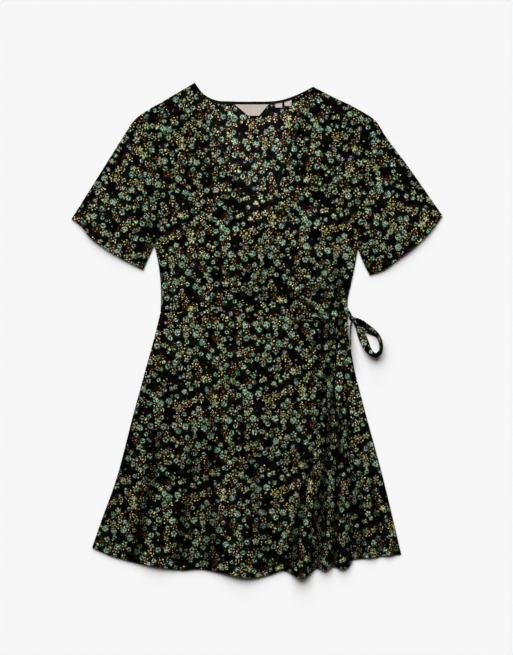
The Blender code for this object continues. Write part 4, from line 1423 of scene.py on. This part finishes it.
# DRAWN_WAIST carries painted shade by the tie; GATHER_MIDDLE carries painted shade over the gathers and also
# sets where most cloth hides in them
DRAWN_WAIST = [Spot(154, 12), Spot(126, 4), Spot(104, -20)]
GATHER_MIDDLE = [Spot(150, 0), Spot(134, -190), Spot(118, -430)]
GATHERED = 0.6  # the share of cloth that the smallest folds hide at the middle of the gathers


def over_skirt():
    """The over front's rise and creases below the waist, held clear of the under skirt."""
    columns = close_at_ends(190)
    columns = columns + CROWDING * np.sin(np.pi * columns)
    rows = close_at_ends(144)
    waist = smooth_line(OVER_WAIST, columns) - [0, GAP / 2]
    hem = smooth_line(OVER_HEM, columns)
    side = smooth_line(SKIRT_LEFT, rows)
    wrap = smooth_line(WRAP_EDGE, rows)
    places = patch(waist, hem, side, wrap, rows)
    at_top, at_bottom, at_left, at_right = edge_distances(places)
    height = over_height(places, columns[None, :], np.ones((len(rows), 1)))
    height += creased(OVER_SKIRT_CREASES, places, MM)
    height = np.maximum(height, under_skirt_height(places) + WALL + CLEAR)
    height += hemmed(at_bottom, SKIRT_HEM) - rolled(at_bottom, FREE, 0.5)
    height += hemmed(at_right, WRAP_HEM_WIDTH) - rolled(at_right, FREE, REST_DROP)
    height -= rolled(at_left, SEWN, SEW_DROP) + rolled(at_top, SEWN, 0.8)
    points = np.dstack([places, height])
    sewn = [
        stitch_line(points, at_bottom, SKIRT_HEM),
        stitch_line(points.transpose(1, 0, 2), at_right.T, WRAP_HEM_WIDTH),
    ]
    gathers = beside_seam(GATHER_MIDDLE, 60, places, reach=30)
    # painted shade towards the hem, over the band of gathers, and where the tie draws the waist together
    painted_shade = down_skirt(places) + 0.24 * gathers + 0.5 * beside_seam(DRAWN_WAIST, 40, places, reach=13)
    cloth_piece("over_skirt", points, turn=-5.0, shift=(0, 0),
                painted_shade=painted_shade, sewn=sewn, hidden=GATHERED * gathers[:, 1:])


over_skirt()

# %% [markdown]
# ## Sleeves
#
# A short sleeve is one piece joined under the arm, so laid flat it is a squashed tube with a fold along
# its upper side. Here it is one closed ring of points for each row from the armhole to the cuff: flat
# below, puffed above, with round edges where the cloth turns. Two flat sheets would show a cut edge at
# the fold. The print runs round the fold too, since the lower layer has the coordinates of a sleeve that
# is cut open under the arm and laid out.

# %% The cloth's coordinates round a sleeve
def unrolled(points):
    """Plan places, each pushed on from the fold by what the steps up to it gain in rising or turning."""
    step = np.diff(points, axis=1)
    gain = np.linalg.norm(step, axis=-1) - np.linalg.norm(step[..., :2], axis=-1)
    onward = unit(points[:, -1:, :2] - points[:, :1, :2])
    return points[..., :2] + np.insert(np.cumsum(gain, axis=1), 0, 0, axis=1)[..., None] * onward


def opened_out(under_side):
    """The lower layer's places turned over about the fold: mirrored across the line along it."""
    fold_line = under_side[:, :1, :2]
    axis = unit(fold_line[-1, 0] - fold_line[0, 0])
    way = unrolled(under_side) - fold_line
    return fold_line + 2 * (way @ axis)[..., None] * axis - way


# %% Two sleeves
SLEEVE_PUFF = 3.3 * MM
PUFF_RATE = 1.3  # the puff is full at one over this of the way to the cuff
EDGE_ROUND = 2.2 * MM  # how far in from its edge the flattened tube turns over
NEAR_SIDES = (0.0008, 0.0024, 0.005, 0.009)
NEAR_ENDS = (0.004, 0.010)
STITCHED = slice(4, -4)  # the columns that a row of stitches takes in, short of the turned edges


def sleeve(node, armhole_spots, fold, cuff, under, side, turn, shift):
    """A ring in each row: a flat lower layer and a puffed upper one.

    The puff is half a sine wave across. Half-heights follow a quarter circle within EDGE_ROUND of the
    fold and of the underarm seam. The side is +1 left and -1 right.
    """
    across = close_at_ends(72, NEAR_SIDES)
    down = close_at_ends(84, NEAR_ENDS)
    top = armhole(armhole_spots, across, -side)
    places = patch(top, smooth_line(cuff, across), smooth_line(fold, down), smooth_line(under, down), down)
    places[:, :1] += unit(places[:, 1:2] - places[:, :1]) * WALL / 2
    places[:, -1:] -= unit(places[:, -1:] - places[:, -2:-1]) * WALL / 2
    at_armhole, at_cuff, at_fold, at_under = edge_distances(places)
    puff = SLEEVE_PUFF * ease(PUFF_RATE * down)[:, None] * np.sin(np.pi * across)[None, :]
    low = np.full(places.shape[:2], CLOTH / 2)
    shares = np.dstack(np.meshgrid(down, across, indexing="ij"))
    high = low + LAYER + puff + creased(SLEEVE_CREASES, shares, 1.0)
    high += 0.6 * hemmed(at_cuff, CUFF_HEM) - rolled(at_armhole, SEWN, 0.7)
    inside = 1 - np.clip(np.minimum(at_fold, at_under) / EDGE_ROUND, 0, 1)
    turnover = np.sqrt(np.clip(1 - inside**2, 0, 1))
    middle, half = (low + high) / 2, (high - low) / 2 * turnover
    under_side = np.dstack([places, middle - half])
    upper_side = np.dstack([places, middle + half])
    # painted shade in the hollows of the upper layer and beside the seam under the arm; the lower layer gets
    # none
    upper_sunk = in_hollows(high) + 0.5 * beside(places[:, -1], places, 9 * MM)
    ring, cut, sunk = (
        np.concatenate([lower[:, :0:-1], upper[:, :-1]], axis=1)[:, ::side]
        for lower, upper in (
            (under_side, upper_side),
            (opened_out(under_side), unrolled(upper_side)),
            (np.zeros_like(upper_sunk), upper_sunk),
        )
    )
    mesh = mesh_from_grid(f"{node}_cloth", ring, turned(cut, turn, shift), wraps=True)
    darken(mesh, sunk)
    piece = add_piece(mesh, [CLOTH_PRINT, WRONG_SIDE], node)
    give_wall(piece, WALL)
    row = stitch_line(upper_side[:, STITCHED], at_cuff[:, STITCHED], CUFF_HEM)
    trim = stitches(f"{node}_stitches", [row])
    print(node, ring.shape[:2], "laid", round(sum(face.area for face in mesh.polygons), 4), "m2")


sleeve("sleeve_left", ARMHOLE_LEFT, SLEEVE_FOLD_LEFT, CUFF_LEFT, SLEEVE_UNDER_LEFT,
       side=1, turn=-38, shift=(40, 10))
sleeve("sleeve_right", ARMHOLE_RIGHT, SLEEVE_FOLD_RIGHT, CUFF_RIGHT, SLEEVE_UNDER_RIGHT,
       side=-1, turn=34, shift=(95, 60))

# %% [markdown]
# ## Labels
#
# A main label hangs from the neck binding, folded in at its sides, with two small tabs beside it. All
# three are bare. Each is a patch between four edges, as the cut pieces are, with a wall of its own, and
# it lifts a little from the cloth at the middle of its foot, which gives it a shadow to be seen by.

# %% Labels
BINDING_WIDTH = 5.0 * MM
Label = namedtuple("Label", "name top bottom drop")  # its span at the top and at the foot, and its length
LABELS = [
    Label("neck_label", top=(-40, 21), bottom=(-16, 4), drop=20),
    Label("size_tab", top=(33, 45), bottom=(33, 45), drop=7.5),
    Label("care_tab", top=(49, 61.5), bottom=(49.5, 61.5), drop=8.5),
]
LABEL_WALL = 0.3 * MM
LABEL_REST = 0.35 * MM  # what the middle of its wall keeps from the gap over the cloth
LABEL_LIFT = 0.5 * MM
FOLDED_IN, FOLD_HEIGHT = 2.2, 0.22 * MM  # the sides are folded in by so much and stand so much higher


def labels():
    """Each label blends its top line into its foot, and lifts towards the foot.

    The lift is the square of the way down times an arch, which is 1 less the square of the way from the
    middle line to a side.
    """
    hung_from = set_back(smooth_line(BACK_NECK, even(60)), -(BINDING_WIDTH + GAP))
    made = []
    for label in LABELS:
        shares = close_at_ends(30, (0.01, 0.025))
        down = close_at_ends(16, (0.02, 0.05))
        across = (label.top[0] + shares * (label.top[1] - label.top[0])) * MM
        top = np.column_stack([across, np.interp(across, hung_from[:, 0], hung_from[:, 1])])
        foot = top[:, 1].mean() - label.drop * MM
        bottom = smooth_line([(label.bottom[0], foot / MM), (label.bottom[1], foot / MM)], shares)
        left, right = (smooth_line([top[end] / MM, bottom[end] / MM], down) for end in (0, -1))
        places = patch(top, bottom, left, right, down)
        _, _, at_left, at_right = edge_distances(places)
        side = np.minimum(at_left, at_right)
        arch = 1 - (2 * shares - 1) ** 2
        height = CLOTH + GAP + LABEL_REST + LABEL_LIFT * down[:, None] ** 2 * arch
        height += FOLD_HEIGHT * (1 - ease((side / MM - FOLDED_IN) / 0.5)) - rolled(side, 0.7, 0.25)
        points = np.dstack([places, height])
        mesh = mesh_from_grid(f"{label.name}_tape", points, points[..., :2])
        piece = add_piece(mesh, [TAPE, TAPE], label.name)
        give_wall(piece, LABEL_WALL)
        print(label.name, "lifts to", round(points[..., 2].max() / MM, 2), "mm")
        made.append(piece)
    return made


hung = labels()

# %% [markdown]
# ## Neck binding
#
# Inside the back neck a narrow bias strip covers the raw edge, and it turns in under the shoulders, where
# less of it shows. It is a band: a flat closed profile with rounded sides, carried along a line. A curve
# with a bevel would stay equally wide all along, and a band of rings can narrow where it has to.

# %% A band along a line
BAND_SIDES = 2 / 5  # the powers of the profile's cosine and sine: the smaller, the squarer it is
BAND_FACES = 2 / 3
END_SHARES = (0.999, 0.5)  # how far the rings that close an end are drawn in to its middle


def band_profile(half_width, half_thickness, count=14):
    """A closed flat profile: a superellipse, the cosine and sine each raised to a power of its own."""
    angle = np.linspace(0, 2 * np.pi, 2 * count, endpoint=False)
    across = np.sign(np.cos(angle)) * np.abs(np.cos(angle)) ** BAND_SIDES
    up = np.sign(np.sin(angle)) * np.abs(np.sin(angle)) ** BAND_FACES
    return across * half_width, up * half_thickness


def closed_band(name, rings, shift=(0, 0)):
    """A mesh over a stack of rings, closed at both ends by rings drawn in to the end's middle."""
    first, last = rings[:1].mean(axis=1, keepdims=True), rings[-1:].mean(axis=1, keepdims=True)
    start = [rings[:1] * (1 - share) + first * share for share in END_SHARES]
    end = [rings[-1:] * (1 - share) + last * share for share in END_SHARES[::-1]]
    stack = np.concatenate([*start, rings, *end])
    along = run_along(stack.mean(axis=1))[:, None]
    step = np.linalg.norm(np.diff(np.concatenate([stack, stack[:, :1]], axis=1), axis=1), axis=-1)
    around = np.insert(np.cumsum(step, axis=1), 0, 0, axis=1)[:, :-1]
    cut = np.dstack([around, np.broadcast_to(along, around.shape)]) + np.array(shift) * MM
    return mesh_from_grid(name, stack, cut, wraps=True)


# %% The binding
BINDING_SPAN = (0.12, 0.93)  # the stretch of the back neck that it covers
TRIM = 1.0 * MM
TURNED_IN = (0.45, 0.55)  # how much of the width is lost under the left-hand and the right-hand shoulder
GROOVE_AT, GROOVE_WIDTH, GROOVE_DEPTH = -1.6 * MM, 0.35 * MM, 0.25 * MM  # a line of stitching


def neck_binding():
    """The strip: its upper edge keeps to the neckline while its width changes."""
    t = even(119)
    width = 1 - TURNED_IN[1] * ease((t - 0.82) / 0.12) - TURNED_IN[0] * (1 - ease(t / 0.15))
    edge = smooth_line(BACK_NECK, BINDING_SPAN[0] + t * (BINDING_SPAN[1] - BINDING_SPAN[0]))
    middle = edge + (set_back(edge, -BINDING_WIDTH / 2) - edge) * width[:, None]
    across, up = band_profile(BINDING_WIDTH / 2, TRIM / 2)
    plan = middle[:, None] + left_of(middle)[:, None] * (width[:, None] * across)[..., None]
    groove = GROOVE_DEPTH * bell(across - GROOVE_AT, GROOVE_WIDTH) * (up > 0)
    height = CLOTH + GAP / 2 + TRIM / 2 + up - groove
    rings = np.dstack([plan, np.broadcast_to(height, plan.shape[:2])])
    mesh = closed_band("neck_binding_tape", rings[:, ::-1])
    piece = add_piece(mesh, [BINDING], "neck_binding")
    0.171 * BINDING_WIDTH * width.mean()
    mean_width = width.mean() * BINDING_WIDTH / MM
    print("binding", round(run_along(edge)[-1] / MM), "mm long, mean width", round(mean_width, 1), "mm")


neck_binding()

# %% [markdown]
# ## The side tie
#
# The tie is a strap of doubled cloth, about 14 mm wide: a short neck out of the side seam, a knot, one
# loop that stands on edge where it bends, and two ends that hang down over the skirt. A strap is a band
# like the binding, but it turns and twists, so it is carried along stations, each with its place, its
# rise, its tilt and its share of the full width. Ends that lie on the skirt ask the cloth under them for
# its height, so they never dip into a fold.

# %% Stations of the tie
STRAP_WIDTH = 14.0 * MM
STRAP_THICKNESS = 1.6 * MM
Station = namedtuple("Station", "across up rise tilt share")
NECK = [  # from the side seam to the knot
    Station(153.0, 45.0, 5.0, 0, 0.62),
    Station(158.2, 38.2, 5.0, 0, 0.62),
    Station(162.8, 31.4, 4.6, 6, 0.56),
    Station(166.2, 25.6, 3.6, 8, 0.46),
    Station(168.2, 22.0, 3.0, 4, 0.38),
]
LOOP = [
    Station(172.0, 21.2, 4.6, 0, 0.40),
    Station(177.0, 18.6, 4.4, 3, 0.62),
    Station(185.5, 12.8, 3.8, 6, 0.92),
    Station(197.2, 3.4, 2.2, 12, 1.02),
    Station(207.4, -3.4, 1.0, 38, 1.02),
    Station(214.6, -9.4, 0.5, 58, 1),
    Station(219.6, -18.4, 0.4, 64, 1),
    Station(221.4, -29.4, 0.4, 64, 1),
    Station(219.2, -38.8, 0.4, 61, 1),
    Station(211.8, -44.4, 0.4, 57, 1),
    Station(204.4, -41.2, 0.4, 48, 1),
    Station(198.4, -34.0, 0.4, 32, 1.02),
    Station(192.8, -22.8, 0.4, 12, 1.05),
    Station(188.2, -12.0, 0.4, 3, 1.08),
    Station(184.2, 0.6, 0.4, 0, 1.04),
    Station(178.4, 11.4, 0.6, 0, 0.72),
    Station(172.6, 17.6, 1.4, 0, 0.42),
]
END_LONG = [
    Station(168, 14.6, 2.0, 72, 0.57),
    Station(166.8, 4, 0.6, 85, 0.8),
    Station(166.4, -8, 0.6, 86, 0.86),
    Station(166, -21, 0.6, 78, 0.9),
    Station(163, -37, 0.5, 50, 1),
    Station(163.6, -58, 0.3, 14, 1),
    Station(166.4, -88, 0.3, 0, 1),
    Station(170, -120, 0.3, 0, 1),
    Station(173.6, -150, 0.3, 0, 1),
    Station(176.6, -182, 0.3, 0, 1),
]
END_SHORT = [
    Station(161.5, 13.6, 0.5, 0, 0.5),
    Station(157.4, 2, 0.4, 0, 0.71),
    Station(153, -20, 0.3, 0, 0.93),
    Station(149, -45, 0.3, 0, 1),
    Station(147, -75, 0.3, 0, 1),
    Station(146.6, -105, 0.3, 0, 1),
    Station(148.4, -134, 0.3, 0, 1),
]
print("stations:", sum(map(len, (NECK, LOOP, END_LONG, END_SHORT))))

# %% What the ends lie on
WRAP_LINE = smooth_line(WRAP_EDGE, even(60))
SIDE_LINE = joined(smooth_line(SIDE_RIGHT, even(20)), smooth_line(SKIRT_RIGHT, even(60)))


def cloth_top(place):
    """The height of the uppermost cloth at each place in the right-hand part of the skirt."""
    wrap_across = np.interp(-place[..., 1], -WRAP_LINE[:, 1], WRAP_LINE[:, 0])
    side_across = np.interp(-place[..., 1], -SIDE_LINE[:, 1], SIDE_LINE[:, 0])
    face = (CLOTH + WALL) / 2
    over = 2 * LAYER + face + over_rise(place) + creased(OVER_SKIRT_CREASES, place, MM)
    under = LAYER + face + under_rise(place) + creased(UNDER_SKIRT_CREASES, place, MM)
    uncovered = np.where(place[..., 0] < side_across, under, 0.0)
    return np.where(place[..., 0] < wrap_across, over, uncovered)


# %% Straps
SEAM_RIDGE, RIDGE_WIDTH, RIDGE_SHARE = 0.86, 0.10, 0.25  # of the half width, and of the thickness
SEAM_GROOVE, GROOVE_SPREAD, GROOVE_SHARE = 0.70, 0.05, 0.35
ACROSS_STRAP = np.linspace(-1, 1, 9)  # where the cloth under a strap is felt for
SOFTEN = 5  # stations over which its height is averaged


def strap(node, stations, count, shift, on_skirt=False):
    """A flat rounded profile at each station: its width leans by the tilt, and its low edge rests.

    A lengthwise seam is a ridge and a groove beside it, bells across the profile that change its
    thickness. The centre's height is the ground's, plus the rise, plus how far the profile reaches down.
    """
    rows = smooth_rows(np.array(stations, float) * [MM, MM, MM, 1, 1], even(count))
    middle, rise, tilt, share = rows[:, :2], rows[:, 2], np.radians(rows[:, 3]), rows[:, 4]
    left = left_of(middle)
    wide = np.column_stack([left * np.cos(tilt)[:, None], np.sin(tilt)])
    thick = np.column_stack([-left * np.sin(tilt)[:, None], np.cos(tilt)])
    half = share * STRAP_WIDTH / 2
    reach = np.abs(wide[:, 2]) * half + np.abs(thick[:, 2]) * STRAP_THICKNESS / 2
    ground = np.zeros(len(rows))
    if on_skirt:
        near = middle[:, None] + (left * (np.cos(tilt) * half)[:, None])[:, None] * ACROSS_STRAP[:, None]
        ground = cloth_top(near).max(axis=1)
        padded = np.pad(ground, SOFTEN // 2, mode="edge")
        ground = np.maximum(ground, np.convolve(padded, np.ones(SOFTEN) / SOFTEN, mode="valid"))
    centre = np.column_stack([middle, ground + rise + reach])
    across, up = band_profile(1.0, STRAP_THICKNESS / 2, 16)
    seam = 1 + RIDGE_SHARE * bell(across - SEAM_RIDGE, RIDGE_WIDTH)
    seam -= GROOVE_SHARE * bell(across - SEAM_GROOVE, GROOVE_SPREAD)
    rings = (
        centre[:, None] + wide[:, None] * (half[:, None] * across[None, :])[..., None]
        + thick[:, None] * (up * seam)[None, :, None]
    )
    mesh = closed_band(f"{node}_cloth", rings[:, ::-1], shift)
    piece = add_piece(mesh, [CLOTH_PRINT], node)
    length = np.linalg.norm(np.diff(centre, axis=0), axis=1).sum()
    print(node, "length", round(length / MM), "mm, top", round(rings[..., 2].max() / MM, 1))
    return piece


# %% [markdown]
# ## The knot
#
# A pulled knot of thin cloth is a small squared lump with one turn of the strap lying slantwise over it.
# The real path of the strap inside it can't be seen, so the knot is a ball in the two angles of a globe,
# squared, swelled into a band across one plane, grooved at the band's edges and pleated along it.

# %% Knot
KNOT_CENTRE = Spot(168.6, 21.6)
KNOT_RADII = np.array([4.3, 5.0, 4.4]) * MM
KNOT_REST = 0.4 * MM
KNOT_SQUARE = 0.85  # the power that each coordinate of the ball is raised to
BAND_FACING = np.array([0.82, 0.50, 0.28])
PLEATS_ACROSS = np.array([-0.45, 0.85, 0.27])
BAND_HALF, BAND_SWELL = 0.42, 0.12  # shares of the knot's size
BAND_GROOVE, BAND_GROOVE_WIDTH, BAND_GROOVE_DEPTH = 0.50, 0.07, 0.10
PLEATS, PLEAT_DEPTH = 16, 0.025
CREASES, CREASE_DEPTH = 22, 0.02
KNOT_CUT = (34 * MM, 17 * MM)  # the cloth that goes round it and over it


def tie_knot():
    """A squared ball; a slanting band round it stands out by a bell across its plane, edged by grooves."""
    turn = np.linspace(0, 2 * np.pi, 72, endpoint=False)[None, :]
    fall = np.linspace(0.001, np.pi - 0.001, 40)[:, None]
    ball = np.dstack([np.sin(fall) * np.cos(turn), np.sin(fall) * np.sin(turn), np.cos(fall) + 0 * turn])
    off = ball @ unit(BAND_FACING)
    other = ball @ PLEATS_ACROSS
    swelled = BAND_SWELL * np.exp(-((off / BAND_HALF) ** 4))
    swelled -= BAND_GROOVE_DEPTH * bell(np.abs(off) - BAND_GROOVE, BAND_GROOVE_WIDTH)
    pleats = PLEAT_DEPTH * np.cos(other * PLEATS) * bell(off, 0.5) + CREASE_DEPTH * np.cos(off * CREASES)
    squared = np.sign(ball) * np.abs(ball) ** KNOT_SQUARE
    shape = squared * (0.93 + swelled + pleats)[..., None]
    middle = np.array([KNOT_CENTRE.across * MM, KNOT_CENTRE.up * MM, KNOT_REST + KNOT_RADII[2]])
    points = middle + shape * KNOT_RADII
    cut = np.dstack([turn / (2 * np.pi) * KNOT_CUT[0] + 0 * fall, -fall / np.pi * KNOT_CUT[1] + 0 * turn])
    mesh = mesh_from_grid("tie_knot_cloth", points, cut, wraps=True)
    print("knot top", round(points[..., 2].max() / MM, 1), "mm")
    return add_piece(mesh, [CLOTH_PRINT], "tie_knot")


# %% The whole tie
knot = tie_knot()
neck = strap("tie_neck", NECK, count=60, shift=(0, 0))
strap("tie_loop", LOOP, count=150, shift=(36, 30))
strap("tie_end_long", END_LONG, count=110, shift=(74, 112), on_skirt=True)
strap("tie_end_short", END_SHORT, count=90, shift=(118, 61), on_skirt=True)
